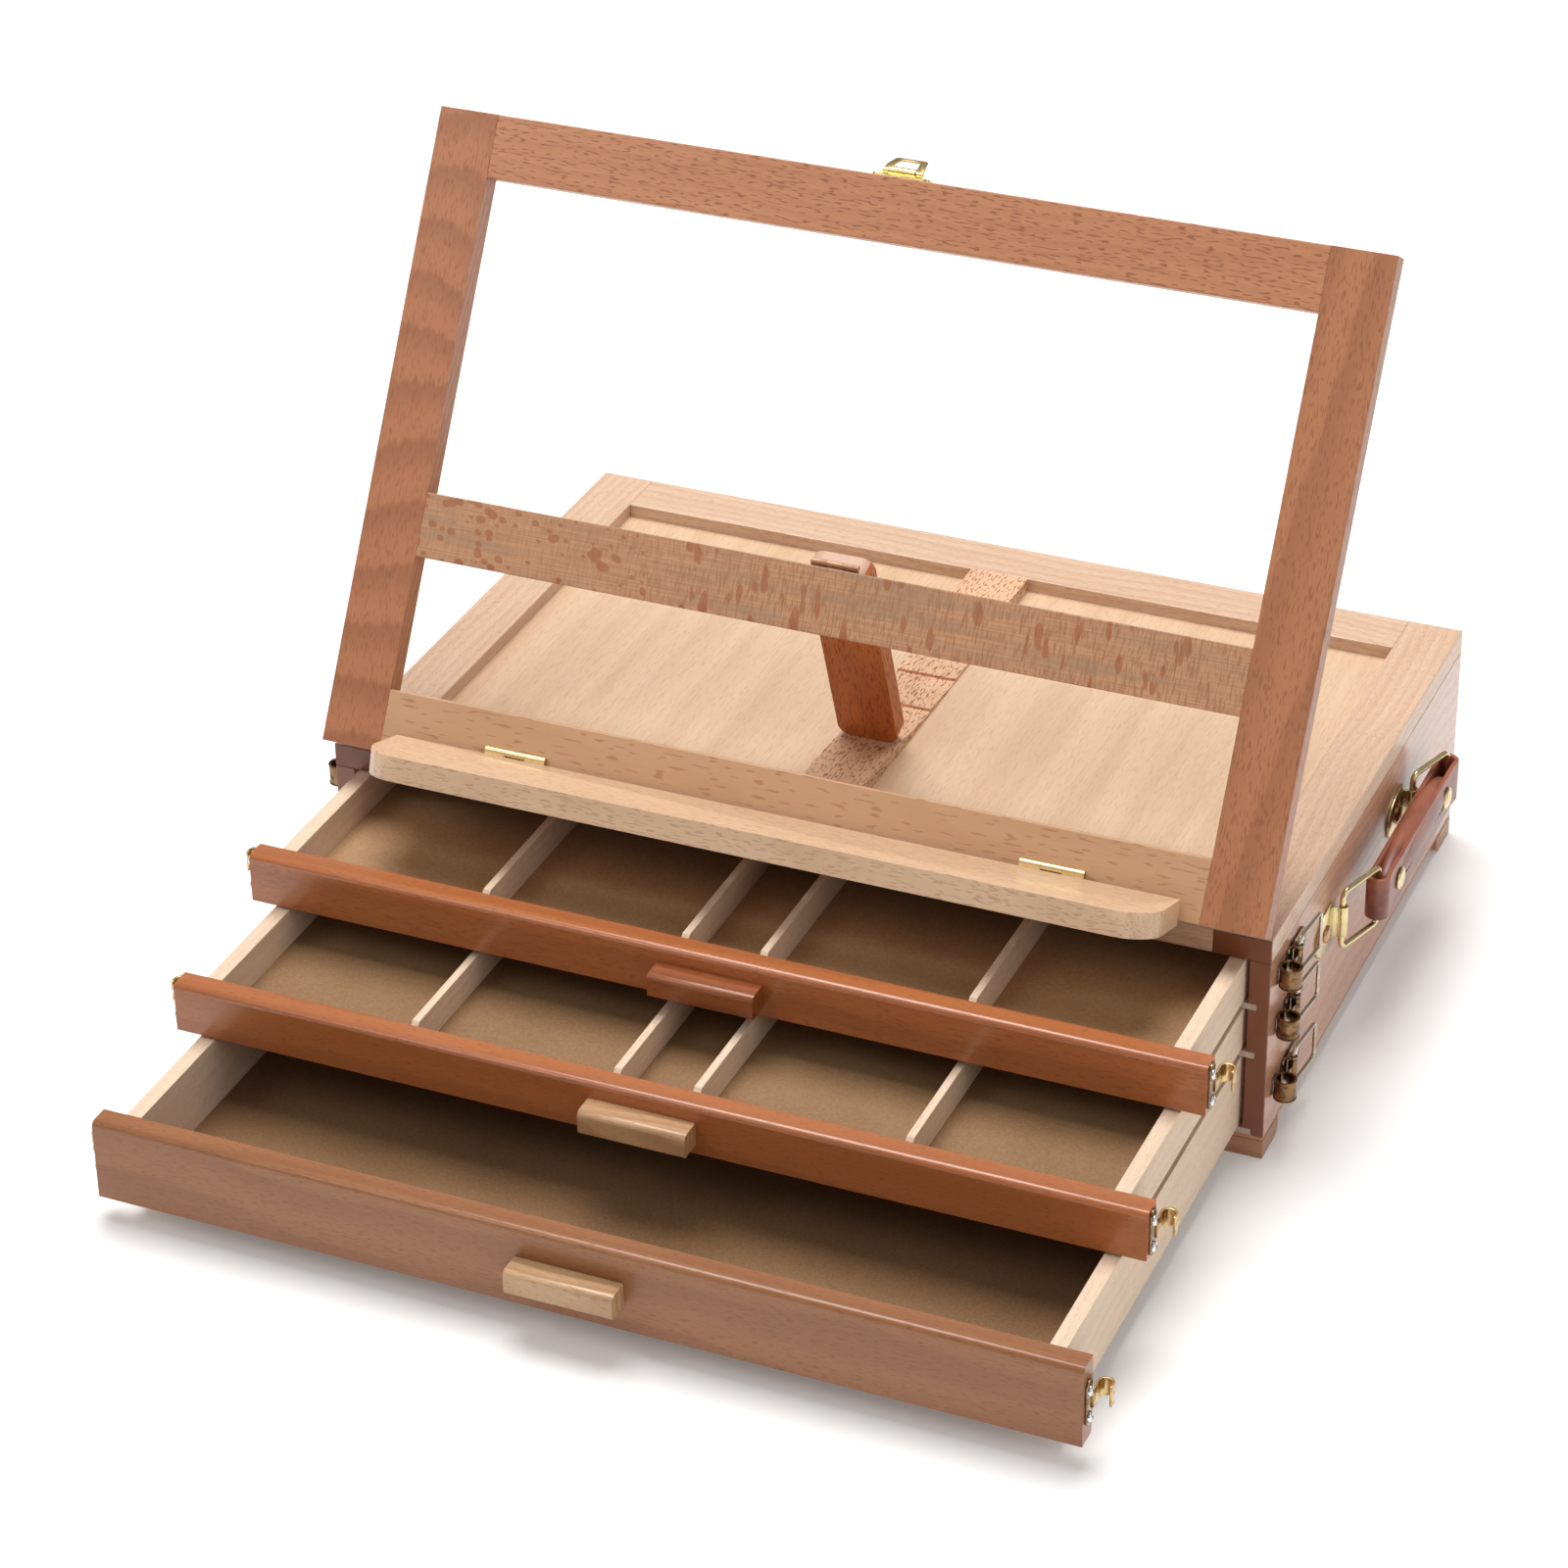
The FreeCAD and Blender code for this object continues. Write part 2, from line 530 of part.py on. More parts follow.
def build_drawer(level):
    name = "drawer_%d_" % level
    face, z0 = "face_%d" % level, "bottom_%d" % level
    z1 = "%s + height_%d" % (z0, level)
    back = face + " + front_t"
    front = board("-front_w / 2", "front_w / 2", face, back, z0, z1,
                  ("front_round", {"y": "min", "z": "max"}))
    node(name + "front", [front])
    low = z0 + " + wall_lift"
    walls = []
    for side_name, side in SIDES:
        x0, x1 = mirrored("wall_x - wall_t", "wall_x", side)
        walls.append(box(x0, x1, back, back + " + wall_l", low, z1))
    inner = "wall_x - wall_t"
    walls.append(box("-(%s)" % inner, inner, back + " + wall_l - wall_t", back + " + wall_l",
                     low, z1))
    node(name + "walls", walls)
    end = back + " + wall_l - wall_t"
    node(name + "bottom", [box("-(%s)" % inner, inner, back, end, low, low + " + floor_t")])
    if level < 3:
        dividers = []
        for middle in ("-divider_out", "-divider_in", "divider_in", "divider_out"):
            dividers.append(board(middle + " - divider_t / 2", middle + " + divider_t / 2", back,
                                  end, low + " + floor_t", z1 + " - divider_drop",
                                  ("-divider_nose", {"y": "min", "z": "max"})))
        node(name + "dividers", dividers)
    drop = "pull_drop_3" if level == 3 else "pull_drop"
    top = "%s - %s" % (z1, drop)
    pull = board("-pull_w / 2", "pull_w / 2", face + " - pull_d", face, top + " - pull_h", top,
                 ("pull_round", {"y": "min", "z": "max"}), ("0.8", {"y": "min", "z": "min"}))
    node(name + "pull", [pull])
    node(name + "strikes", strike(-1, level) + strike(1, level))


# ---------------------------------------------------------------- latches
def latch_base(side, level):
    z = "latch_%d" % level
    x0, x1 = mirrored(HALF, HALF + " + plate_t", side)
    plate = board(x0, x1, "base_y0", "base_y1", z + " - base_h / 2", z + " + base_h / 2",
                  ("4.0", {"y": "max", "z": "both"}))
    shapes = [plate]
    px = "%d * pin_x" % side
    e0, e1 = mirrored(HALF, "pin_x", side)
    for low in (z + " + ear_in", z + " - ear_in - ear_t"):
        shapes.append(box(e0, e1, "pin_y - ear_r", "pin_y + ear_r", low, low + " + ear_t"))
        shapes.append(rod("z", px, "pin_y", low, "ear_r", "ear_t"))
    hole = rod("z", px, "pin_y", z + " - base_h", "ear_bore", "2 * base_h")
    body = cut(fuse(*shapes), hole)
    sx = HALF + " + plate_t" if side > 0 else "-(%s + plate_t + 0.8)" % HALF
    screw = rod("x", sx, "base_y1 - 5", z, "1.9", "0.8")
    return [body, screw]


def build_latches():
    bases = []
    for name, side in SIDES:
        for level in LEVELS:
            bases += latch_base(side, level)
            z = "latch_%d" % level
            px = "%d * pin_x" % side
            lever_frame = frame_of((0, 0, -side), "lever_rest", px, "pin_y", z)
            low, tall = "-lever_h / 2", "lever_h"
            barrel = rod("z", "0", "0", low, "barrel_r", tall)
            plate = box("-lever_t / 2", "lever_t / 2", "1", "lever_l - curl_r + 0.5",
                        low, "lever_h / 2")
            curl = cut(rod("z", "0", "lever_l", low, "curl_r", tall),
                       rod("z", "0", "lever_l", low + " - 1", "curl_r - curl_wall", tall + " + 2"))
            body = cut(fuse(barrel, plate), rod("z", "0", "0", low + " - 1", "barrel_bore",
                                                tall + " + 2"))
            node("latch_%s_%d_lever" % (name, level), [fuse(body, curl)], lever_frame)
            loop_frame = frame_of((0, 0, -side), "loop_rest", px, "pin_y", z)
            loop = wire_loop("loop_l", "loop_z", "loop_corner", "wire_r")
            node("latch_%s_%d_loop" % (name, level), [loop], loop_frame)
    node("case_latch_bases", bases)


# ---------------------------------------------------------------- handle
def handle_mount(y):
    plate = board(HALF, HALF + " + plate_t", y + " - mount_l", y + " + 1",
                  "handle_z - mount_h / 2", "handle_z + mount_h / 2",
                  ("7.0", {"y": "min", "z": "both"}), ("4.0", {"y": "max", "z": "both"}))
    low = "handle_z - mount_curl_h / 2"
    web = box(HALF, "ring_x - 0.2", y + " - 3.4", y + " - 1.4", low, low + " + mount_curl_h")
    curl = rod("z", "ring_x", y, low, "mount_curl", "mount_curl_h")
    bore = rod("z", "ring_x", y, low + " - 1", "mount_bore", "mount_curl_h + 2")
    dome = rod("x", HALF + " + plate_t", y + " - mount_screw", "handle_z", "dome_r", "1.2")
    return [cut(fuse(plate, web, curl), bore), dome]


def build_handle():
    node("case_handle_mounts", handle_mount("ring_front") + handle_mount("ring_rear"))
    for name in ("front", "rear"):
        frame = frame_of((0, 0, -1), "ring_rest", "ring_x", "ring_" + name, "handle_z")
        ring = wire_loop("ring_l", "ring_half", "ring_corner", "ring_r")
        node("handle_ring_" + name, [ring], frame)
    span = "ring_rear - ring_front"
    x = "ring_x + ring_l*sin(ring_rest)"
    y = "ring_front + ring_l*cos(ring_rest)"
    here = frame_of((0, 0, 1), "0", x, y, "handle_z")
    strap = board("-strap_t / 2", "strap_t / 2", "-strap_over", span + " + strap_over",
                  "-strap_h / 2", "strap_h / 2", ("4.85", {"x": "both", "y": "both"}))
    front = rod("z", "0", "0", "-strap_h", "strap_bore", "2*strap_h")
    rear = rod("z", "0", span, "-strap_h", "strap_bore_rear", "2*strap_h")
    node("handle_strap", [cut(strap, front, rear)], here)
    rivets = [rod("x", "strap_t / 2", "rivet_in", "0", "rivet_r", "rivet_h"),
              rod("x", "strap_t / 2", span + " - rivet_in", "0", "rivet_r", "rivet_h")]
    node("handle_rivets", rivets, here)


build_case()
build_case_hinges()
build_frame()
build_ledge()
build_prop()
build_clasp()
for drawer in LEVELS:
    build_drawer(drawer)
build_latches()
build_handle()
doc.recompute()

for obj in doc.Objects:
    if "Invalid" in obj.State or "Error" in obj.State:
        raise RuntimeError("object %s is in state %s" % (obj.Name, obj.State))
for group in nodes:
    shape = group.Shape
    if shape.isNull() or not shape.isValid() or not shape.Solids:
        raise RuntimeError("bad shape in " + group.Label)
    shape.exportStep("parts/%s.step" % group.Label)
    print(group.Label, len(shape.Solids), [round(v, 1) for v in (
        shape.BoundBox.XMin, shape.BoundBox.XMax, shape.BoundBox.YMin, shape.BoundBox.YMax,
        shape.BoundBox.ZMin, shape.BoundBox.ZMax)], round(shape.Volume))
print(len(nodes), "sub-parts")
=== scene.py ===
"""Looks of a wooden table-top box easel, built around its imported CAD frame."""

import math

import bpy
from mathutils import Matrix, Vector


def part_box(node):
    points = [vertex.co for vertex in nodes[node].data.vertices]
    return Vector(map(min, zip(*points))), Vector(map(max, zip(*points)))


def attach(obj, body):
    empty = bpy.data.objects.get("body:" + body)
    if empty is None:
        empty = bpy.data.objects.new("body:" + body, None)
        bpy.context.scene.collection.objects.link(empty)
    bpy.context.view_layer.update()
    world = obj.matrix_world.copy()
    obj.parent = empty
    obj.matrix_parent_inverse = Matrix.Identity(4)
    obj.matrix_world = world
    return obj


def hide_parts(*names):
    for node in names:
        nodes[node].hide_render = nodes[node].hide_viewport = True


bl_info = {
    "name": "Box easel",
    "version": (1, 0, 0),
    "blender": (4, 5, 0),
    "location": "3D View > Sidebar > Box easel",
    "description": "Wood, brass and leather of a table-top box easel",
    "category": "Add Mesh",
}

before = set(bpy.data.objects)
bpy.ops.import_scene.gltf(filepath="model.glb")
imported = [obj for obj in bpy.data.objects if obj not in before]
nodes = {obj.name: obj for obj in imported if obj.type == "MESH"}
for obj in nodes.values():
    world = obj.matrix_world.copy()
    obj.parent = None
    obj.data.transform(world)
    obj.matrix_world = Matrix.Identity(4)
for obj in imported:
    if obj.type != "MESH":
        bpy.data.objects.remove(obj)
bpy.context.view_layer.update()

MM = 0.001
SIDES = (("left", -1), ("right", 1))
LEVELS = (1, 2, 3)
TILT = 59.6  # degrees, picture frame from level
PROP_TURN = 70.4  # degrees, prop below level
LEDGE_TURN = 161.3  # degrees, ledge from the frame's own axes
HINGE_X = (-120.0, 120.0)
PIN = (203.2, -106.0)
LATCH_Z = {1: 79.2, 2: 56.5, 3: 27.7}
FACE_Y = {1: -206.0, 2: -270.0, 3: -336.0}
SIDE_X = 200.0
STRIKE_X = 199.5
RING_X = 203.9
RING_Y = {"front": -48.5, "rear": 49.0}
HANDLE_Z = 62.0
FRAME_FOOT = (0.0, -141.4, 107.5)  # origin of the picture frame's own axes
PROP_PIVOT = (0.0, 108.2, -9.4)  # in the picture frame's own axes
PROP_END = 4.0  # depth of the pale end grain past the prop's pivot
FRONT_EDGE_Y = -130.9  # front ends of the case boards, stained dark
SCREW_GAP = 7.5  # hinge screws from the middle of their leaf
CASE_SCREW = (-124.0, 100.5)
FRAME_SCREW = (8.0, -10.2)  # in the picture frame's own axes
CLASP_SEAT = (-1.7, 263.2, -6.0)  # in the picture frame's own axes
PLATE_T = 1.0  # latch bases, strikes and leaf plates
LEVER_REST = 6.1  # degrees out from the case side
STRAP_X = 211.5
GRIP_ENDS = (-20.5, 69.0)
RIVET_X = 216.2
RIVET_R = 4.8


# ---------------------------------------------------------------- shader wiring
class Value:
    """One output socket. Arithmetic on it adds Math nodes."""

    def __init__(self, finish, socket):
        self.finish, self.socket = finish, socket

    def __add__(self, other):
        return self.finish.math("ADD", self, other)

    def __sub__(self, other):
        return self.finish.math("SUBTRACT", self, other)

    def __rsub__(self, other):
        return self.finish.math("SUBTRACT", other, self)

    def __mul__(self, other):
        return self.finish.math("MULTIPLY", self, other)

    def __truediv__(self, other):
        return self.finish.math("DIVIDE", self, other)

    def __pow__(self, other):
        return self.finish.math("POWER", self, other)

    __radd__ = __add__
    __rmul__ = __mul__


class Finish:
    """A material and the nodes wired into its one shader."""

    def __init__(self, name, **shader):
        self.material = bpy.data.materials.new(name)
        self.material.use_nodes = True
        self.tree = self.material.node_tree
        self.tree.nodes.clear()
        self.shader = self.add("ShaderNodeBsdfPrincipled", None, shader)
        self.add("ShaderNodeOutputMaterial", None, {"Surface": Value(self, self.shader.outputs[0])})

    def add(self, kind, settings=None, values=None):
        """A node of that kind: settings first, then the numbers or links of its sockets."""
        node = self.tree.nodes.new(kind)
        for key, value in (settings or {}).items():
            if key == "stops":
                self.set_stops(node.color_ramp, value)
            else:
                setattr(node, key, value)
        self.wire(node, values or {})
        return node

    def set_stops(self, ramp, stops):
        ramp.elements[0].position, ramp.elements[1].position = stops[0][0], stops[-1][0]
        ramp.elements[0].color, ramp.elements[1].color = stops[0][1], stops[-1][1]
        for place, colour in stops[1:-1]:
            ramp.elements.new(place).color = colour

    def wire(self, node, values):
        for key, value in values.items():
            if isinstance(value, Value):
                self.tree.links.new(value.socket, node.inputs[key])
            else:
                node.inputs[key].default_value = value

    def surface(self, **values):
        self.wire(self.shader, {key.replace("_", " "): value for key, value in values.items()})

    def get(self, kind, settings=None, values=None, output=0):
        return Value(self, self.add(kind, settings, values).outputs[output])

    def math(self, operation, first, second=0.0):
        return self.get("ShaderNodeMath", {"operation": operation}, {0: first, 1: second})

    def mix(self, factor, low, high):
        """Colour low where factor is 0 and high where it is 1."""
        return self.get("ShaderNodeMix", {"data_type": "RGBA"}, {0: factor, 6: low, 7: high}, 2)

    def step(self, value, low, high, to_low=0.0, to_high=1.0):
        """Smooth rise of value between low and high."""
        return self.get("ShaderNodeMapRange", {"interpolation_type": "SMOOTHSTEP"},
                        {0: value, 1: low, 2: high, 3: to_low, 4: to_high})

    def place(self, turn=0.0, shift=(0.0, 0.0, 0.0)):
        """Object coordinates in millimetres, turned back about X and shifted."""
        spot = self.get("ShaderNodeTexCoord", output=3)
        return self.get("ShaderNodeMapping", None, {
            "Vector": spot, "Location": shift, "Rotation": (math.radians(turn), 0.0, 0.0),
            "Scale": (1000.0, 1000.0, 1000.0)})

    def split(self, where):
        node = self.add("ShaderNodeSeparateXYZ", None, {0: where})
        return [Value(self, socket) for socket in node.outputs]

    def join(self, x, y, z):
        return self.get("ShaderNodeCombineXYZ", None, {0: x, 1: y, 2: z})

    def noise(self, where, detail=2.0, rough=0.5, bend=0.0):
        return self.get("ShaderNodeTexNoise", None, {
            "Vector": where, "Scale": 1.0, "Detail": detail, "Roughness": rough,
            "Distortion": bend})

    def cells(self, where, jitter=1.0):
        return self.get("ShaderNodeTexVoronoi", None, {
            "Vector": where, "Scale": 1.0, "Randomness": jitter})

    def relief(self, height, strength, depth_mm):
        bump = self.get("ShaderNodeBump", None, {
            "Height": height, "Strength": strength, "Distance": depth_mm * MM})
        self.surface(Normal=bump)


def rgb(red, green, blue):
    return (red, green, blue, 1.0)


GRAIN_ORDER = {"X": (0, 1, 2), "Y": (1, 0, 2), "Z": (2, 0, 1)}


def wood(name, light, middle, dark, grain="X", turn=0.0, shift=(0.0, 0.0, 0.0), flecks=0.5,
         fleck_size=(3.4, 0.55), fleck_level=0.6, rings=0.3, ring_gap=3.4, heart=(9.0, -60.0),
         lean=0.02, streaks=0.5, rough=0.42, coat=0.15, front=None, end=None, depth=0.25):
    """Beech: yearly rings round a distant heart, broad streaks, fibres and short ray flecks."""
    made = Finish(name)
    axes = made.split(made.place(turn, shift))
    along, across, deep = (axes[i] for i in GRAIN_ORDER[grain])
    slow = made.noise(made.join(along / 110.0, across / 60.0, deep / 60.0), 1.0)
    sway = (slow - 0.5) * 14.0
    radius = made.math("SQRT", (across + sway - heart[0]) ** 2.0
                       + (deep + sway * 0.4 - heart[1] + along * lean) ** 2.0)
    ripple = made.noise(made.join(along / 30.0, across / 3.0, deep / 3.0), 2.0)
    turn_of_year = made.math("FRACT", radius / ring_gap + ripple * 0.3)
    late = made.step(turn_of_year, 0.2, 0.85) * made.step(turn_of_year, 1.0, 0.88)
    broad = made.noise(made.join(along / 120.0, across / 9.0, deep / 9.0), 3.0, 0.6)
    fibre = made.noise(made.join(along / 22.0, across / 0.55, deep / 0.55), 3.0, 0.65)
    ray = made.noise(made.join(along / fleck_size[0], across / fleck_size[1],
                               deep / fleck_size[1]), 0.0)
    fleck = made.step(ray, fleck_level, fleck_level + 0.09)
    tone = made.step(broad * 0.6 + fibre * 0.4, 0.36, 0.64)
    colour = made.mix(tone * streaks, light, middle)
    colour = made.mix(late * rings, colour, dark)
    colour = made.mix(fleck * flecks, colour, dark)
    if front:
        edge, edge_colour = front
        colour = made.mix(made.step(axes[1], edge + 0.4, edge), colour, edge_colour)
    if end:
        cut, end_colour = end
        colour = made.mix(made.step(along, cut + 0.3, cut), colour, end_colour)
    made.surface(Base_Color=colour, Roughness=rough + fibre * 0.12 - 0.06 + fleck * 0.1,
                 Coat_Weight=coat, Coat_Roughness=0.16)
    made.relief(fibre * 0.5 + broad * 0.2 - fleck * 0.5, depth, 0.12)
    return made.material


def ray_wood():
    """Quarter-sawn beech: fine level lines crossed by large orange-brown ray flakes."""
    made = Finish("ray_beech")
    x, v, w = made.split(made.place(-TILT))
    sway = made.noise(made.join(x / 30.0, v / 30.0, w / 30.0), 2.0)
    lines = made.noise(made.join(x / 40.0, v / 0.7, w / 0.7), 2.0, 0.6)
    cross = made.noise(made.join(x / 0.9 + sway, v / 14.0, w / 14.0), 2.0, 0.6)
    size = made.noise(made.join(x / 13.0, v / 13.0, w / 13.0), 1.0)
    flake_left = made.cells(made.join((x + v * 0.75) / 5.6, (v - x * 0.3) / 4.6, 0.0))
    flake_right = made.cells(made.join((x + v * 0.12) / 4.8, v / 18.0, 0.0))
    to_right = made.step(x, -130.0, -20.0)
    torn = (lines - 0.5) * 0.16 + (cross - 0.5) * 0.2
    level = made.step(x, -40.0, 170.0, 0.34, 0.17) + (size - 0.5) * 1.0
    gap = flake_left * (1.0 - to_right) + flake_right * to_right + torn
    flake = made.step(level - gap, 0.0, 0.05)
    edge = made.step(v, 80.0, 84.0) * made.step(v, 106.5, 100.0) * 0.35 + 0.65
    colour = made.mix(made.step(lines * 0.7 + cross * 0.3, 0.35, 0.65), rgb(0.55, 0.29, 0.15),
                      rgb(0.43, 0.205, 0.10))
    tick = made.noise(made.join(x / 1.0, v / 7.0, w / 7.0), 2.0, 0.7)
    ticks = made.step(tick, 0.48, 0.62) * made.step(x, -150.0, 0.0, 0.35, 1.0)
    colour = made.mix(ticks * 0.75, colour, rgb(0.33, 0.14, 0.062))
    grey = made.step(made.noise(made.join(x / 60.0, v / 8.0, w / 8.0), 2.0), 0.45, 0.7)
    colour = made.mix(grey * 0.45, colour, rgb(0.31, 0.20, 0.125))
    colour = made.mix(flake * edge, colour, rgb(0.33, 0.095, 0.03))
    made.surface(Base_Color=colour, Roughness=0.5 - flake * 0.1, Coat_Weight=0.1,
                 Coat_Roughness=0.2)
    made.relief(lines * 0.5 + cross * 0.2, 0.2, 0.1)
    return made.material


def board_sheet(name, light, dark, speck, speckle=0.5):
    """Pressed fibre board: fine matted fibres with scattered dark specks."""
    made = Finish(name)
    where = made.place()
    x, y, z = made.split(where)
    matted = made.noise(made.join(x / 1.1, y / 1.1, z), 3.0, 0.65)
    cloud = made.noise(made.join(x / 60.0, y / 60.0, z / 60.0), 3.0, 0.5)
    dots = made.cells(made.join(x / 4.2, y / 4.2, z))
    spot = made.step(dots, 0.17, 0.1) * made.step(matted, 0.45, 0.6)
    colour = made.mix(made.step(matted * 0.6 + cloud * 0.4, 0.33, 0.67), dark, light)
    colour = made.mix(spot * speckle, colour, speck)
    made.surface(Base_Color=colour, Roughness=0.72)
    made.relief(matted, 0.35, 0.12)
    return made.material


def metal(name, light, dark, rough=0.22, tarnish=0.35, scale=6.0, depth=0.08):
    """Plated sheet or wire with a faint cloudy tarnish and fine rubbing marks."""
    made = Finish(name, Metallic=1.0)
    where = made.place()
    x, y, z = made.split(where)
    cloud = made.noise(made.join(x / scale, y / scale, z / scale), 3.0, 0.55)
    rub = made.noise(made.join(x / 0.5, y / 2.5, z / 0.5), 2.0, 0.6)
    worn = made.step(cloud, 0.4, 0.7)
    made.surface(Base_Color=made.mix(worn * tarnish + rub * 0.1, light, dark),
                 Roughness=rough + worn * 0.12 + rub * 0.06)
    made.relief(rub * 0.4 + cloud, depth, 0.05)
    return made.material


def leather(name, light, dark, gloss):
    """Smooth hide with fine creased grain, paler along its upper edge as a painted highlight."""
    made = Finish(name)
    x, y, z = made.split(made.place())
    grain = made.cells(made.join(x / 0.7, y / 0.7, z / 0.7))
    cloud = made.noise(made.join(x / 9.0, y / 14.0, z / 9.0), 3.0, 0.5)
    # painted highlight: the hide is made paler towards its upper edge, where the top light falls
    painted_top_highlight = made.step(z, 64.0, 73.0) * 0.5
    colour = made.mix(made.step(cloud + painted_top_highlight * 0.6, 0.35, 0.85), dark, light)
    made.surface(Base_Color=colour, Roughness=gloss + grain * 0.12, Coat_Weight=0.2,
                 Coat_Roughness=0.3)
    made.relief(grain * 0.5 + cloud * 0.4, 0.3, 0.1)
    return made.material


# ---------------------------------------------------------------- modelling
def pick(*pieces):
    """Object mode with only these selected and the first one active."""
    if bpy.context.object and bpy.context.object.mode != "OBJECT":
        bpy.ops.object.mode_set(mode="OBJECT")
    bpy.ops.object.select_all(action="DESELECT")
    for piece in pieces:
        piece.select_set(True)
    if pieces:
        bpy.context.view_layer.objects.active = pieces[0]


def added(name):
    piece = bpy.context.object
    piece.name = name
    return piece


def modified(piece, kind, **settings):
    """Add a modifier and apply it."""
    pick(piece)
    modifier = piece.modifiers.new(kind.title(), kind)
    for key, value in settings.items():
        setattr(modifier, key, value)
    bpy.ops.object.modifier_apply(modifier=modifier.name)
    return piece


def tidy(piece, angle=38.0):
    """Merge doubles, turn faces outwards and smooth up to an angle."""
    pick(piece)
    bpy.ops.object.transform_apply(location=True, rotation=True, scale=True)
    bpy.ops.object.mode_set(mode="EDIT")
    bpy.ops.mesh.select_all(action="SELECT")
    bpy.ops.mesh.remove_doubles(threshold=0.000002)
    bpy.ops.mesh.normals_make_consistent(inside=False)
    bpy.ops.object.mode_set(mode="OBJECT")
    bpy.ops.object.shade_smooth_by_angle(angle=math.radians(angle))
    return piece


def softened(piece, width, segments=2):
    return modified(piece, "BEVEL", width=width * MM, segments=segments, limit_method="ANGLE",
                    angle_limit=math.radians(35.0))


def plate(name, outline, thickness, soft=0.2):
    """Flat plate from an outline in millimetres in the XY plane, extruded upwards."""
    pick()
    bpy.ops.mesh.primitive_circle_add(vertices=len(outline), radius=1.0, fill_type="NGON")
    piece = added(name)
    for vertex, (x, y) in zip(piece.data.vertices, outline):
        vertex.co = (x * MM, y * MM, 0.0)
    bpy.ops.object.mode_set(mode="EDIT")
    bpy.ops.mesh.select_all(action="SELECT")
    bpy.ops.mesh.extrude_region_move(TRANSFORM_OT_translate={"value": (0.0, 0.0, thickness * MM)})
    bpy.ops.mesh.select_all(action="SELECT")
    bpy.ops.mesh.normals_make_consistent(inside=False)
    bpy.ops.object.mode_set(mode="OBJECT")
    return softened(piece, soft) if soft else piece


def ribbon(name, line, width, thickness, soft=0.18):
    """Bent strip: a line in the XY plane, in millimetres, as wide as given along Z."""
    pick()
    count = len(line)
    bpy.ops.mesh.primitive_grid_add(x_subdivisions=count - 1, y_subdivisions=1, size=1.0)
    piece = added(name)
    for i, vertex in enumerate(piece.data.vertices):
        x, y = line[i % count]
        vertex.co = (x * MM, y * MM, (i // count - 0.5) * width * MM)
    bpy.ops.object.mode_set(mode="EDIT")
    bpy.ops.mesh.select_all(action="SELECT")
    bpy.ops.mesh.remove_doubles(threshold=0.000002)
    bpy.ops.object.mode_set(mode="OBJECT")
    modified(piece, "SOLIDIFY", thickness=thickness * MM, offset=0.0, use_even_offset=True)
    return softened(piece, soft) if soft else piece


def ringed(name, around, rings):
    """Unit cylinder along Z, cut into level rings, ready to be shaped."""
    pick()
    bpy.ops.mesh.primitive_cylinder_add(vertices=around, radius=1.0, depth=1.0,
                                        end_fill_type="TRIFAN")
    piece = added(name)
    bpy.ops.object.mode_set(mode="EDIT")
    for i in range(1, rings):
        bpy.ops.mesh.select_all(action="SELECT")
        bpy.ops.mesh.bisect(plane_co=(0.0, 0.0, i / rings - 0.5), plane_no=(0.0, 0.0, 1.0))
    bpy.ops.object.mode_set(mode="OBJECT")
    return piece


def turned(name, profile, centre=(0.0, 0.0, 0.0), steps=32):
    """Solid of revolution about Z from (radius, height) points, in millimetres."""
    last = len(profile) - 1
    piece = ringed(name, steps, last)
    for vertex in piece.data.vertices:
        radius, height = profile[round((vertex.co.z + 0.5) * last)]
        flat = Vector((vertex.co.x, vertex.co.y))
        reach = flat.normalized() * radius * MM if flat.length > 0.1 else flat
        vertex.co = (reach.x + centre[0] * MM, reach.y + centre[1] * MM,
                     (height + centre[2]) * MM)
    return tidy(piece)


def moved(piece, matrix):
    """Put a piece in place through its mesh."""
    piece.data.transform(matrix)
    if matrix.determinant() < 0:
        piece.data.flip_normals()
    return piece


def copied(piece, name, matrix):
    twin = piece.copy()
    twin.data = piece.data.copy()
    twin.name = name
    bpy.context.scene.collection.objects.link(twin)
    return moved(twin, matrix)


def joined(name, pieces):
    pick(*pieces)
    if len(pieces) > 1:
        bpy.ops.object.join()
    return added(name)


def removed(*pieces):
    for piece in pieces:
        bpy.data.objects.remove(piece)


def axes(x_axis, y_axis, z_axis, origin=(0.0, 0.0, 0.0)):
    """Matrix that carries the piece's own axes and origin (mm) to the given ones."""
    matrix = Matrix((x_axis, y_axis, z_axis)).transposed().to_4x4()
    matrix.translation = Vector(origin) * MM
    return matrix


def arc(centre, radius, start, end, steps):
    """Points of an arc in millimetres, angles in degrees."""
    points = []
    for i in range(steps + 1):
        angle = math.radians(start + (end - start) * i / steps)
        points.append((centre[0] + radius * math.cos(angle), centre[1] + radius * math.sin(angle)))
    return points


def show(piece, body, slot, material, *stands_for):
    """Give a finished piece its material and body, and hide what it stands for. The slot argument is
    not used.
    """
    piece.data.materials.clear()
    piece.data.materials.append(material)
    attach(piece, body)
    if stands_for:
        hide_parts(*stands_for)
    return piece


def paint(material, *names):
    """Put a material into every slot of the named CAD nodes."""
    for name in names:
        for place in nodes[name].material_slots:
            place.material = material


def eased(names, width):
    """Rounded edges on CAD boards, as live modifiers."""
    for name in names:
        piece = nodes[name]
        weld = piece.modifiers.new("Weld", "WELD")
        weld.merge_threshold = 0.00001
        bevel = piece.modifiers.new("Eased edges", "BEVEL")
        bevel.width = width * MM
        bevel.segments = 2
        bevel.limit_method = "ANGLE"
        bevel.angle_limit = math.radians(40.0)


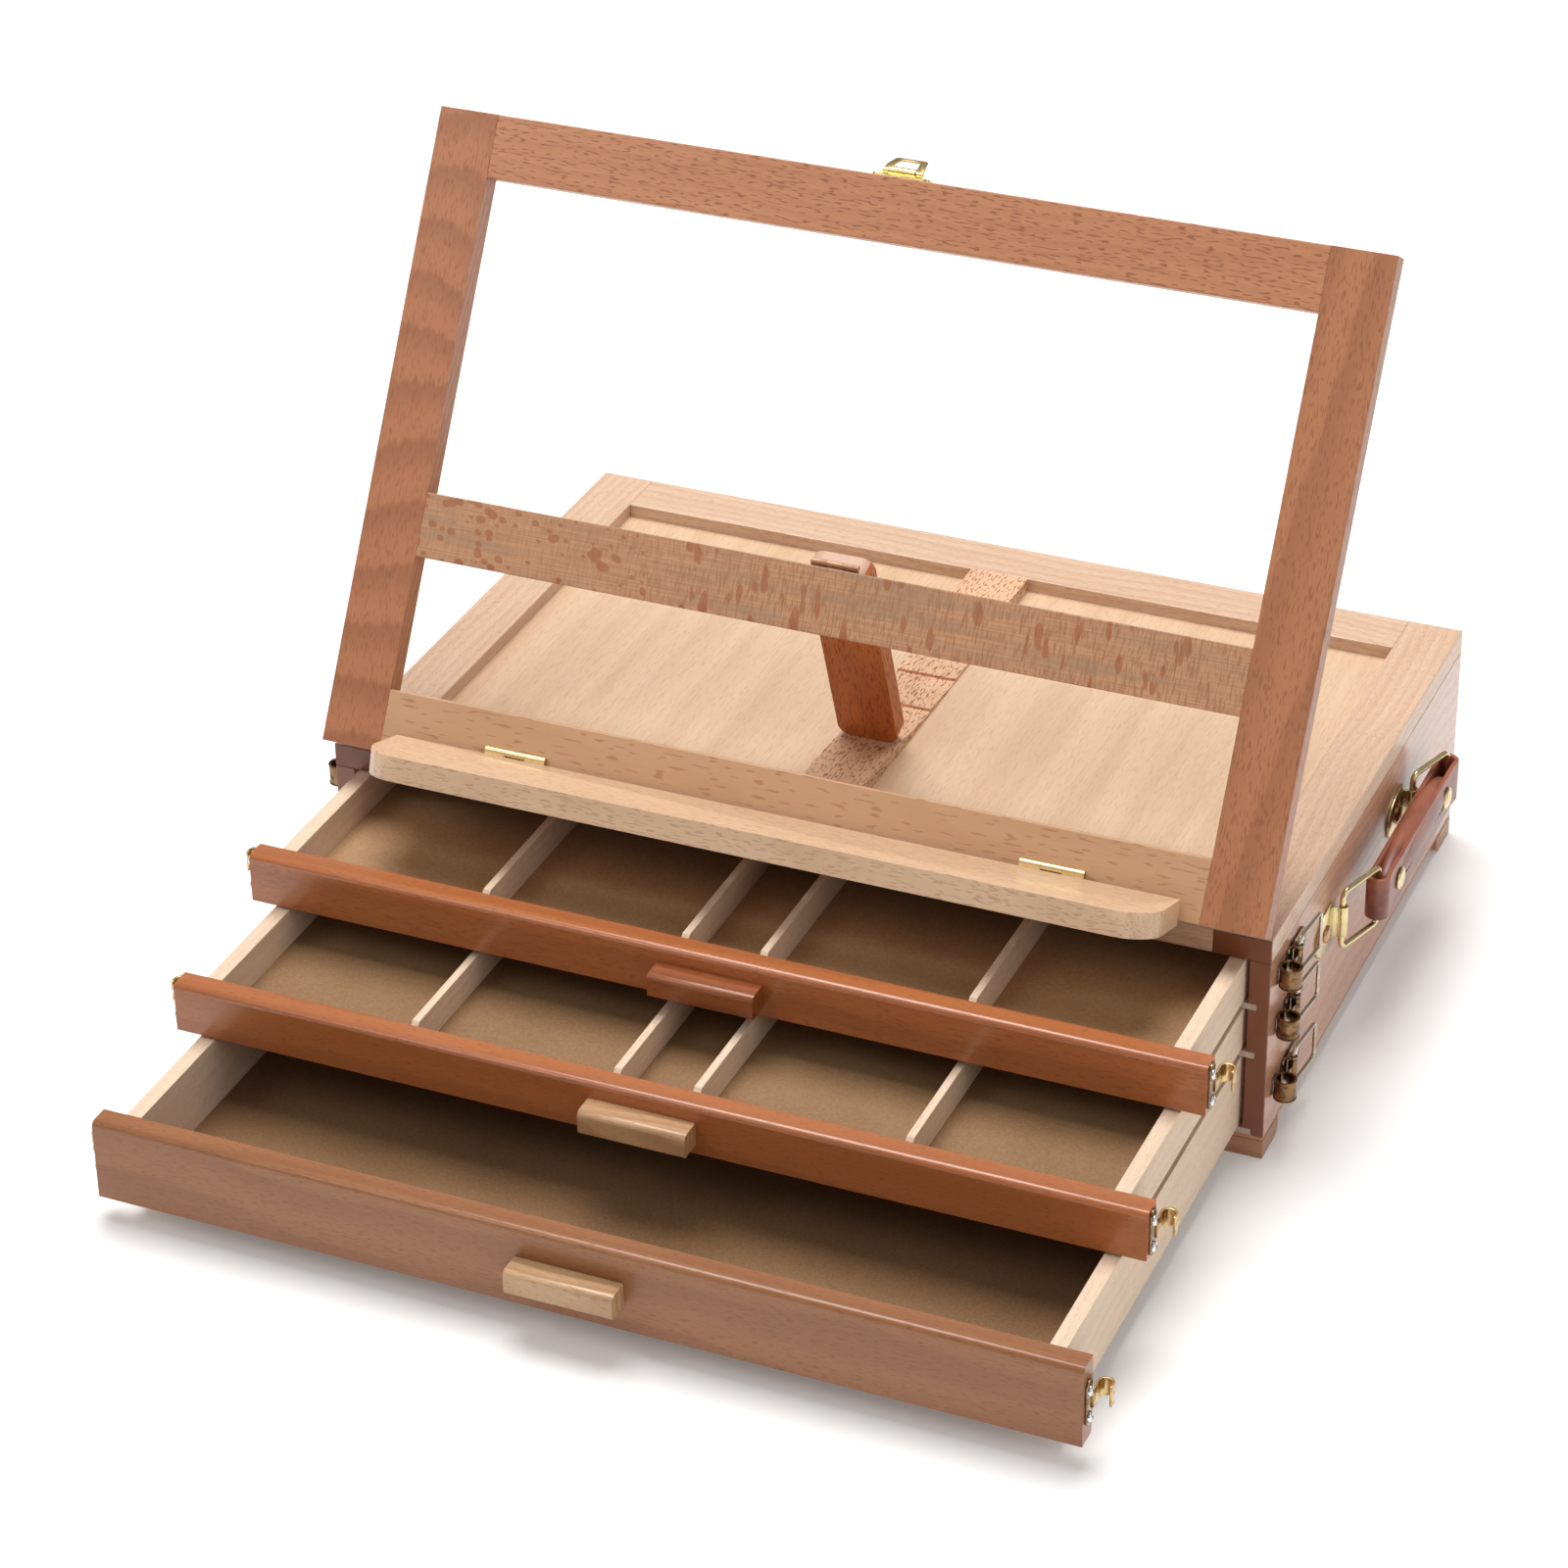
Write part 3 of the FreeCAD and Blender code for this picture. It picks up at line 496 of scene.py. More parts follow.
OUT_RIGHT = axes((0.0, 1.0, 0.0), (0.0, 0.0, 1.0), (1.0, 0.0, 0.0))  # plate XY -> wall YZ
MIRROR = Matrix.Diagonal((-1.0, 1.0, 1.0, 1.0))


def shift(x=0.0, y=0.0, z=0.0):
    return Matrix.Translation(Vector((x, y, z)) * MM)


def on_side(side):
    """The right-hand placing, or its mirror for the left."""
    return Matrix.Identity(4) if side > 0 else MIRROR.copy()


def frame_matrix():
    """From the picture frame's own axes (X, up its face, out of its face) to the row's."""
    tilt = math.radians(TILT)
    up = (0.0, math.cos(tilt), math.sin(tilt))
    out = (0.0, -math.sin(tilt), math.cos(tilt))
    return axes((1.0, 0.0, 0.0), up, out, FRAME_FOOT)


def cross_screw(name, radius, height, slot=True):
    """Domed screw head with a crossed recess, standing up from z 0."""
    profile = [(radius * 0.96, 0.0), (radius, height * 0.25), (radius * 0.93, height * 0.55),
               (radius * 0.75, height * 0.82), (radius * 0.42, height * 0.97), (0.05, height)]
    head = turned(name, profile, steps=28)
    if slot:
        for turn in (0.0, 90.0):
            pick()
            bpy.ops.mesh.primitive_cube_add(size=1.0, location=(0.0, 0.0, height * MM),
                                            scale=(radius * 1.15 * MM, radius * 0.26 * MM,
                                                   height * 0.9 * MM))
            blade = added("blade")
            bpy.ops.object.transform_apply(location=True, rotation=True, scale=True)
            blade.data.transform(Matrix.Rotation(math.radians(turn + 30.0), 4, "Z"))
            modified(head, "BOOLEAN", object=blade, operation="DIFFERENCE", solver="EXACT")
            removed(blade)
        pick(head)
        bpy.ops.object.shade_smooth_by_angle(angle=math.radians(38.0))
    return head


# ---------------------------------------------------------------- settings
class EaselWood(bpy.types.PropertyGroup):
    edge: bpy.props.FloatProperty(name="Edge easing", description="Rounding of board edges, mm",
                                  default=0.7, min=0.1, max=2.0)
    frame_light: bpy.props.FloatVectorProperty(
        name="Frame wood", description="Light tone of the picture frame's beech",
        subtype="COLOR", size=4, default=(0.52, 0.225, 0.105, 1.0), min=0.0, max=1.0)
    case_light: bpy.props.FloatVectorProperty(
        name="Case wood", description="Light tone of the case's beech",
        subtype="COLOR", size=4, default=(0.72, 0.51, 0.36, 1.0), min=0.0, max=1.0)
    drawer_light: bpy.props.FloatVectorProperty(
        name="Drawer wood", description="Light tone of the varnished drawer fronts",
        subtype="COLOR", size=4, default=(0.43, 0.135, 0.038, 1.0), min=0.0, max=1.0)


class EaselMetal(bpy.types.PropertyGroup):
    wall: bpy.props.FloatProperty(name="Sheet", description="Thickness of the metal sheet, mm",
                                  default=0.9, min=0.4, max=1.6)
    curl: bpy.props.FloatProperty(name="Curl radius", description="Radius of the lever's curl, mm",
                                  default=4.4, min=2.0, max=6.0)
    brass: bpy.props.FloatVectorProperty(
        name="Brass", description="Colour of hinges, rings and plates", subtype="COLOR", size=4,
        default=(0.74, 0.62, 0.35, 1.0), min=0.0, max=1.0)


class EaselStrap(bpy.types.PropertyGroup):
    leather: bpy.props.FloatProperty(name="Hide", description="Thickness of the leather, mm",
                                     default=1.9, min=1.0, max=3.0)
    stitch: bpy.props.FloatProperty(name="Stitch pitch", description="Distance of stitches, mm",
                                    default=3.4, min=2.0, max=6.0)


GROUPS = (("easel_wood", EaselWood), ("easel_metal", EaselMetal), ("easel_strap", EaselStrap))


# ---------------------------------------------------------------- wood
class EASEL_OT_case(bpy.types.Operator):
    """Varnished beech of the case, its top frame, panels and feet"""
    bl_idname = "easel.case"
    bl_label = "Case wood"

    def execute(self, context):
        scene = context.scene
        pale = scene.easel_wood.case_light[:]
        middle, dark = rgb(0.60, 0.36, 0.225), rgb(0.42, 0.20, 0.105)
        front = (FRONT_EDGE_Y, rgb(0.18, 0.045, 0.011))
        paint(wood("case_side_beech", rgb(0.58, 0.295, 0.175), rgb(0.49, 0.22, 0.115),
                   rgb(0.34, 0.13, 0.06), "Y", flecks=0.22, rings=0.3, rough=0.3, coat=0.55,
                   front=front, depth=0.12), "case_side_left", "case_side_right")
        paint(wood("case_back_beech", rgb(0.60, 0.33, 0.21), rgb(0.50, 0.235, 0.135),
                   rgb(0.36, 0.15, 0.08), "X", shift=(40.0, 7.0, 5.0), flecks=0.3, rough=0.25,
                   coat=0.7), "case_back")
        # The case top's paler tones here are partly the beech's own and partly a painted sheen of the
        # top light on its upward faces.
        paint(wood("case_stile_beech", pale, middle, dark, "Y", flecks=0.3, rings=0.2,
                   front=front, coat=0.3), "case_top_stiles")
        paint(wood("case_rail_beech", pale, middle, dark, "X", shift=(13.0, 31.0, 5.0),
                   flecks=0.32, rings=0.22, coat=0.3, front=front),
              "case_top_rail_front", "case_top_rail_back")
        # The centre rail's light tone is raised above the other case boards as painted light, lifting
        # the shade the prop and the frame's mid bar cast on it in front of the foot.
        paint(wood("centre_rail_beech", rgb(0.80, 0.50, 0.31), rgb(0.70, 0.40, 0.23),
                   rgb(0.27, 0.09, 0.035), "Y", shift=(5.0, 60.0, 5.0), flecks=0.85,
                   fleck_size=(3.0, 0.7), fleck_level=0.58, rings=0.15),
              "case_centre_rail")
        # The inset panels' pale tone is partly the beech's own and partly a painted sheen of the top
        # light on their upward faces.
        paint(wood("inset_panel_beech", rgb(0.74, 0.53, 0.355), rgb(0.66, 0.44, 0.275),
                   rgb(0.45, 0.24, 0.12), "Y", shift=(3.0, 3.0, 19.0), flecks=0.25,
                   fleck_size=(5.0, 0.6), rings=0.12, ring_gap=11.0, streaks=0.75, rough=0.36,
                   coat=0.3), "case_inset_panels")
        paint(wood("base_ply", rgb(0.52, 0.26, 0.14), rgb(0.42, 0.2, 0.1), rgb(0.3, 0.12, 0.06),
                   "X", flecks=0.2, rings=0.1, rough=0.5), "case_base")
        paint(wood("foot_beech", rgb(0.50, 0.24, 0.125), rgb(0.4, 0.18, 0.09),
                   rgb(0.25, 0.1, 0.05), "X", flecks=0.3, rough=0.4), "case_feet")
        paint(wood("runner_beech", rgb(0.56, 0.43, 0.34), rgb(0.46, 0.34, 0.26),
                   rgb(0.34, 0.24, 0.18), "Y", flecks=0.2, rough=0.7, coat=0.0),
              "case_drawer_runners")
        eased(("case_side_left", "case_side_right", "case_back", "case_top_stiles",
               "case_top_rail_front", "case_top_rail_back"), scene.easel_wood.edge * 0.5)
        eased(("case_base", "case_feet"), scene.easel_wood.edge)
        return {"FINISHED"}


class EASEL_OT_picture_frame(bpy.types.Operator):
    """Flecked beech of the tilting picture frame, its ray-flecked bar, ledge and prop"""
    bl_idname = "easel.picture_frame"
    bl_label = "Picture frame wood"

    def execute(self, context):
        scene = context.scene
        light = scene.easel_wood.frame_light[:]
        middle, dark = rgb(0.44, 0.175, 0.078), rgb(0.23, 0.07, 0.026)
        common = {"turn": -TILT, "rough": 0.42, "coat": 0.12}
        paint(wood("stile_left_beech", rgb(0.45, 0.175, 0.075), middle, dark, "Y",
                   flecks=0.45, rings=0.4, ring_gap=3.6, heart=(-187.0, -30.0),
                   lean=0.16, streaks=0.6, **common),
              "frame_stile_left")
        paint(wood("stile_right_beech", rgb(0.46, 0.185, 0.08), middle, dark, "Y",
                   shift=(0.0, 50.0, 0.0), flecks=0.55, rings=0.35,
                   heart=(215.0, -40.0), streaks=0.8, **common),
              "frame_stile_right")
        paint(wood("top_rail_beech", light, middle, dark, "X", shift=(0.0, 12.0, 3.0),
                   flecks=0.7, fleck_size=(4.2, 0.75), fleck_level=0.6, rings=0.15, **common),
              "frame_top_rail")
        paint(wood("bottom_rail_beech", rgb(0.60, 0.345, 0.19), rgb(0.53, 0.285, 0.15),
                   rgb(0.38, 0.165, 0.065), "X", flecks=0.62, fleck_size=(7.0, 1.2),
                   fleck_level=0.65, rings=0.1, streaks=0.5, **common), "frame_bottom_rail")
        paint(ray_wood(), "frame_mid_bar")
        # The ledge's pale tone is partly the wood's own and partly a painted sheen of the top light
        # on its upward face.
        paint(wood("ledge_beech", rgb(0.74, 0.51, 0.325), rgb(0.67, 0.43, 0.255),
                   rgb(0.36, 0.15, 0.06), "X", turn=-LEDGE_TURN, flecks=0.4,
                   fleck_size=(3.4, 0.6), rings=0.14, streaks=0.5, rough=0.35, coat=0.3),
              "ledge_board")
        pivot = frame_matrix() @ (Vector(PROP_PIVOT) * MM)
        start = (Matrix.Rotation(math.radians(PROP_TURN), 4, "X") @ pivot).y / MM
        paint(wood("prop_beech", rgb(0.56, 0.165, 0.032), rgb(0.46, 0.12, 0.02),
                   rgb(0.22, 0.036, 0.006), "Y", turn=PROP_TURN, flecks=0.6, rings=0.2,
                   rough=0.5, coat=0.08, end=(start + PROP_END, rgb(0.62, 0.38, 0.27))), "prop_arm")
        eased(("frame_stile_left", "frame_stile_right", "frame_bottom_rail", "frame_mid_bar",
               "frame_top_rail"), scene.easel_wood.edge * 0.6)
        eased(("ledge_board", "prop_arm"), scene.easel_wood.edge)
        return {"FINISHED"}


class EASEL_OT_drawers(bpy.types.Operator):
    """Varnished fronts and pulls, raw walls and pressed-board bottoms of the drawers"""
    bl_idname = "easel.drawers"
    bl_label = "Drawers"

    def execute(self, context):
        scene = context.scene
        light = scene.easel_wood.drawer_light[:]
        fronts = {
            1: (light, rgb(0.36, 0.10, 0.026), rgb(0.22, 0.055, 0.014), 0.55),
            2: (light, rgb(0.37, 0.105, 0.026), rgb(0.23, 0.058, 0.014), 0.5),
            3: (rgb(0.34, 0.135, 0.05), rgb(0.27, 0.10, 0.036), rgb(0.16, 0.05, 0.018), 0.12),
        }
        pulls = {
            1: (rgb(0.32, 0.09, 0.02), rgb(0.25, 0.06, 0.013), rgb(0.14, 0.03, 0.007)),
            2: (rgb(0.55, 0.33, 0.17), rgb(0.48, 0.265, 0.13), rgb(0.34, 0.165, 0.07)),
            3: (rgb(0.58, 0.36, 0.19), rgb(0.48, 0.28, 0.14), rgb(0.28, 0.14, 0.06)),
        }
        pale = wood("wall_beech", rgb(0.78, 0.60, 0.44), rgb(0.69, 0.51, 0.365),
                    rgb(0.46, 0.30, 0.20), "Y", flecks=0.25, rings=0.12, rough=0.62, coat=0.0)
        # The three bottoms are one pressed board; their tones differ as painted light and shade:
        # drawer 1's is made brighter to lift the frame's shadow on it, drawers 2 and 3 darker.
        bottom_tones_painted_light = {
            1: (rgb(0.47, 0.28, 0.14), rgb(0.36, 0.20, 0.09)),
            2: (rgb(0.31, 0.175, 0.078), rgb(0.23, 0.12, 0.05)),
            3: (rgb(0.28, 0.15, 0.066), rgb(0.205, 0.10, 0.042)),
        }
        for level in LEVELS:
            drawer = "drawer_%d_" % level
            tone, mid, deep, coat = fronts[level]
            paint(wood(drawer + "front_beech", tone, mid, deep, "X",
                       shift=(70.0 * level, 17.0 * level, 9.0 * level), flecks=0.42, rings=0.25,
                       ring_gap=9.0, rough=0.3, coat=coat, depth=0.15), drawer + "front")
            tone, mid, deep = pulls[level]
            paint(wood(drawer + "pull_beech", tone, mid, deep, "X",
                       shift=(33.0 * level, 5.0 * level, 0.0), flecks=0.4, rings=0.5,
                       ring_gap=4.0, heart=(0.0, 30.0), lean=0.15, rough=0.35, coat=0.3),
                  drawer + "pull")
            paint(pale, drawer + "walls")
            paint(board_sheet(drawer + "board", *bottom_tones_painted_light[level], rgb(0.10, 0.055, 0.03)),
                  drawer + "bottom")
            eased((drawer + "front", drawer + "pull"), scene.easel_wood.edge)
            eased((drawer + "walls",), scene.easel_wood.edge * 0.5)
            if level < 3:
                paint(pale, drawer + "dividers")
                eased((drawer + "dividers",), scene.easel_wood.edge * 0.4)
        return {"FINISHED"}


# ---------------------------------------------------------------- metal
def shared_metal(name, *tones):
    """A plated finish that several operators use, made once."""
    return bpy.data.materials.get(name) or metal(name, *tones)


def brass_finish(scene):
    return shared_metal("pale_brass", scene.easel_metal.brass[:], rgb(0.55, 0.40, 0.18), 0.2, 0.3)


def bronze_finish():
    return shared_metal("dark_bronze", rgb(0.36, 0.25, 0.16), rgb(0.12, 0.07, 0.04), 0.2, 0.8, 4.0)


def nickel_finish():
    return shared_metal("nickel", rgb(0.74, 0.73, 0.71), rgb(0.45, 0.43, 0.40), 0.16, 0.3)


class EASEL_OT_latches(bpy.types.Operator):
    """Six side latches: base plate with ears, teardrop lever with its rolled grip, wire loop"""
    bl_idname = "easel.latches"
    bl_label = "Latches"

    def execute(self, context):
        scene = context.scene
        wall = scene.easel_metal.wall
        bronze, nickel = bronze_finish(), nickel_finish()
        amber = metal("amber_bronze", rgb(0.27, 0.155, 0.075), rgb(0.06, 0.03, 0.018), 0.2, 0.9, 3.0)
        wire = metal("aged_wire", rgb(0.56, 0.49, 0.40), rgb(0.33, 0.25, 0.17), 0.2, 0.5, 5.0)
        lever = self.lever(scene, wall)
        base, screw = self.base(), cross_screw("base_screw", 2.4, 1.0)
        moved(screw, shift(SIDE_X + PLATE_T, -95.0) @ OUT_RIGHT)
        for side_name, side in SIDES:
            for level in LEVELS:
                label = "latch_%s_%d_" % (side_name, level)
                spot = on_side(side) @ shift(z=LATCH_Z[level])
                body = label + "lever"
                show(copied(lever, label + "grip", spot), body, "bronze", amber, body)
                paint(wire, label + "loop")
        bases = [copied(base, "base", on_side(side) @ shift(z=LATCH_Z[level]))
                 for _, side in SIDES for level in LEVELS]
        show(joined("latch_base_plates", bases), "case", "bronze", bronze, "case_latch_bases")
        heads = [copied(screw, "head", on_side(side) @ shift(z=LATCH_Z[level]))
                 for _, side in SIDES for level in LEVELS]
        show(joined("latch_base_screws", heads), "case", "bronze", nickel)
        removed(lever, base, screw)
        return {"FINISHED"}

    def base(self):
        """Plate against the case side with two ears for the pin."""
        back, front, half = -90.0, -112.0, 5.6
        outline = [(front, -half), (back - 4.5, -half)]
        outline += arc((back - 4.5, 0.0), half, -75.0, 75.0, 10)
        outline += [(back - 4.5, half), (front, half)]
        sheet = moved(plate("sheet", outline, PLATE_T, 0.25), shift(SIDE_X) @ OUT_RIGHT)
        ears = []
        for z in (4.6, -5.6):
            ear = [(SIDE_X, PIN[1] - 2.6), (PIN[0], PIN[1] - 1.9)]
            ear += arc(PIN, 1.9, -70.0, 70.0, 8)
            ear += [(PIN[0], PIN[1] + 1.9), (SIDE_X, PIN[1] + 2.6)]
            ears.append(moved(plate("ear", ear, 1.0, 0.15), shift(z=z)))
        pin = turned("pin", [(0.75, -6.1), (1.15, -6.0), (1.15, -5.7), (0.75, -5.6), (0.75, 5.7),
                             (1.15, 5.8), (1.15, 6.1), (0.75, 6.2)], (PIN[0], PIN[1], 0.0), 16)
        return tidy(joined("base", [sheet] + ears + [pin]))

    def lever(self, scene, wall):
        """Teardrop plate on the pin barrel, ending in a rolled grip with rims."""
        curl_r = scene.easel_metal.curl
        length, half = 14.1, 4.4
        # own axes: X along the lever, Y up the pin, Z outwards
        body = [(0.0, -1.9), (2.4, -2.4), (5.0, -3.3), (7.4, -4.1), (9.9, -half), (9.9, half),
                (7.4, 4.1), (5.0, 3.3), (2.4, 2.4), (0.0, 1.9)]
        sheet = moved(plate("sheet", body, wall, 0.2), shift(z=-wall * 0.5))
        parts = [sheet]
        roll = arc((length, 0.0), curl_r - wall * 0.5, 178.0, -140.0, 30)
        # the ribbon lies in the lever's X-Z plane and is as wide as the pin is long
        grip = ribbon("grip", roll, 2 * half, wall, 0.25)
        parts.append(moved(grip, axes((1, 0, 0), (0, 0, 1), (0, -1, 0))))
        for z in (-half + 0.25, half - 0.25):
            rim = ribbon("rim", arc((length, 0.0), curl_r - 0.15, 178.0, -170.0, 34), 0.55, 0.75, 0.2)
            parts.append(moved(rim, axes((1, 0, 0), (0, 0, 1), (0, -1, 0), (0.0, z, 0.0))))
        barrel = ribbon("barrel", arc((0.0, 0.0), 1.45, 0.0, 345.0, 20), 2 * half - 0.2, 0.8, 0.15)
        parts.append(moved(barrel, axes((1, 0, 0), (0, 0, 1), (0, -1, 0))))
        rivet = turned("rivet", [(1.5, 0.0), (1.55, 0.25), (1.25, 0.5), (0.8, 0.5), (0.7, 0.3),
                                 (0.05, 0.28)], (6.2, 0.0, wall * 0.5), 20)
        parts.append(rivet)
        made = tidy(joined("lever", parts))
        turn = math.radians(LEVER_REST)
        along = (math.sin(turn), -math.cos(turn), 0.0)
        outward = (math.cos(turn), math.sin(turn), 0.0)
        return moved(made, axes(along, (0.0, 0.0, 1.0), outward, (PIN[0], PIN[1], 0.0)))


class EASEL_OT_strikes(bpy.types.Operator):
    """Drawer-end plates with a bent hook and two cross-head screws"""
    bl_idname = "easel.strikes"
    bl_label = "Strikes"

    def execute(self, context):
        bronze, nickel = bronze_finish(), nickel_finish()
        gold = metal("gilt_hook", rgb(0.66, 0.47, 0.22), rgb(0.24, 0.14, 0.06), 0.22, 0.6, 3.0)
        # all of it at a drawer face of y 0 and a latch height of z 0
        low, high, half, round_r = 1.8, 7.3, 10.0, 2.75
        middle = (low + high) * 0.5
        outline = arc((middle, half - round_r), round_r, 0.0, 180.0, 12)
        outline += arc((middle, -half + round_r), round_r, 180.0, 360.0, 12)
        sheet = moved(plate("sheet", outline, PLATE_T, 0.3), shift(STRIKE_X) @ OUT_RIGHT)
        hook_x, hook_y, radius = 203.5, 12.4, 2.75
        line = [(hook_x - radius, 6.2), (hook_x - radius, 9.5)]
        line += arc((hook_x, hook_y), radius, 180.0, 0.0, 16)
        line += [(hook_x + radius, 11.2), (hook_x + radius, 9.9)]
        hook = ribbon("hook", line, 8.8, 1.0, 0.0)
        for vertex in hook.data.vertices:
            past = max(0.0, vertex.co.x / MM - hook_x)
            if vertex.co.z < 0.0:
                vertex.co.z += (1.9 - 0.95 * abs(past - 1.2)) * MM if past < 2.0 else 0.0
        softened(hook, 0.2)
        tidy(hook)
        heads = []
        head = cross_screw("head", 2.2, 1.35)
        for z in (-5.8, 5.8):
            heads.append(copied(head, "head", shift(STRIKE_X + PLATE_T, 3.9, z) @ OUT_RIGHT))
        removed(head)
        heads = joined("heads", heads)
        tidy(sheet)
        for level in LEVELS:
            drawer, at = "drawer_%d" % level, shift(0.0, FACE_Y[level], LATCH_Z[level])
            for part, material, replaced in ((sheet, bronze, "_strikes"), (hook, gold, None),
                                             (heads, nickel, None)):
                pair = [copied(part, "one", on_side(side) @ at) for _, side in SIDES]
                name = "%s_strike_%s" % (drawer, part.name)
                stands_for = (drawer + replaced,) if replaced else ()
                show(joined(name, pair), drawer, "bronze", material, *stands_for)
        removed(sheet, hook, heads)
        return {"FINISHED"}


class EASEL_OT_hinges(bpy.types.Operator):
    """Brass butt hinges with sunk screws, and the clasp on the frame's top edge"""
    bl_idname = "easel.hinges"
    bl_label = "Hinges and clasp"

    def execute(self, context):
        scene = context.scene
        brass = brass_finish(scene)
        gilt = metal("gilt_clasp", rgb(0.78, 0.60, 0.26), rgb(0.40, 0.24, 0.08), 0.18, 0.45, 4.0)
        paint(brass, "case_frame_hinges", "frame_hinge_leaves", "ledge_hinge_leaves",
              "case_clasp_keeper", "handle_ring_front", "handle_ring_rear")
        paint(gilt, "frame_clasp_plate")
        self.age_prop_hinge(scene)
        screw = cross_screw("screw", 2.3, 0.35)
        case_heads = [copied(screw, "head", shift(x + dx, *CASE_SCREW))
                      for x in HINGE_X for dx in (-SCREW_GAP, SCREW_GAP)]
        show(joined("case_hinge_screws", case_heads), "case", "brass", brass)
        frame_heads = []
        for x in HINGE_X:
            for dx in (-SCREW_GAP, SCREW_GAP):
                flat = shift(x + dx, *FRAME_SCREW) @ Matrix.Rotation(math.pi, 4, "X")
                frame_heads.append(copied(screw, "head", frame_matrix() @ flat))
        show(joined("frame_hinge_screws", frame_heads), "frame", "brass", brass)
        removed(screw)
        self.clasp(gilt)
        return {"FINISHED"}

    def age_prop_hinge(self, scene):
        """The prop's hinge is dull and brown beside the bright ones on the same frame."""
        dull = metal("dull_hinge", rgb(0.55, 0.36, 0.25), rgb(0.38, 0.22, 0.14), 0.6, 0.6)
        paint(dull, "prop_hinge_leaf")
        mixed = Finish("frame_hinge_brass", Metallic=1.0)
        x, y, z = mixed.split(mixed.place())
        cloud = mixed.noise(mixed.join(x / 6.0, y / 6.0, z / 6.0), 3.0)
        inner = mixed.step(mixed.math("ABSOLUTE", x), 24.0, 22.0)
        bright = mixed.mix(mixed.step(cloud, 0.4, 0.7) * 0.3, scene.easel_metal.brass[:],
                           rgb(0.55, 0.40, 0.18))
        mixed.surface(Base_Color=mixed.mix(inner, bright, rgb(0.50, 0.32, 0.22)),
                      Roughness=0.22 + inner * 0.3 + cloud * 0.08)
        paint(mixed.material, "frame_hinge_leaves")

    def clasp(self, gilt):
        """Flat bent loop on two eyes, lying back level behind the frame's top edge."""
        outer = [(-8.4, 0.0), (-8.0, 4.0), (-7.0, 10.0), (-6.2, 11.9), (5.2, 11.9), (6.6, 10.0),
                 (7.9, 4.0), (8.4, 0.0), (5.2, 0.0), (4.6, 5.0), (3.8, 8.8), (-3.9, 8.8),
                 (-4.8, 5.0), (-5.2, 0.0)]
        loop = plate("loop", outer, 0.8, 0.2)
        for vertex in loop.data.vertices:
            height = vertex.co.y / MM
            vertex.co.z += 0.022 * height * (11.9 - height) * MM
        eye = turned("eye", [(1.0, -8.4), (1.3, -8.3), (1.3, -5.9), (1.0, -5.8)], steps=16)
        twin = copied(eye, "eye_two", MIRROR @ Matrix.Rotation(math.pi / 2, 4, "Y"))
        moved(eye, Matrix.Rotation(math.pi / 2, 4, "Y"))
        made = tidy(joined("clasp_sheet_loop", [loop, eye, twin]))
        turn = Matrix.Rotation(math.radians(-0.4), 4, "X")
        centre = frame_matrix() @ (Vector(CLASP_SEAT) * MM)
        moved(made, Matrix.Translation(centre) @ turn)
        show(made, "clasp_loop", "brass", gilt, "clasp_loop")


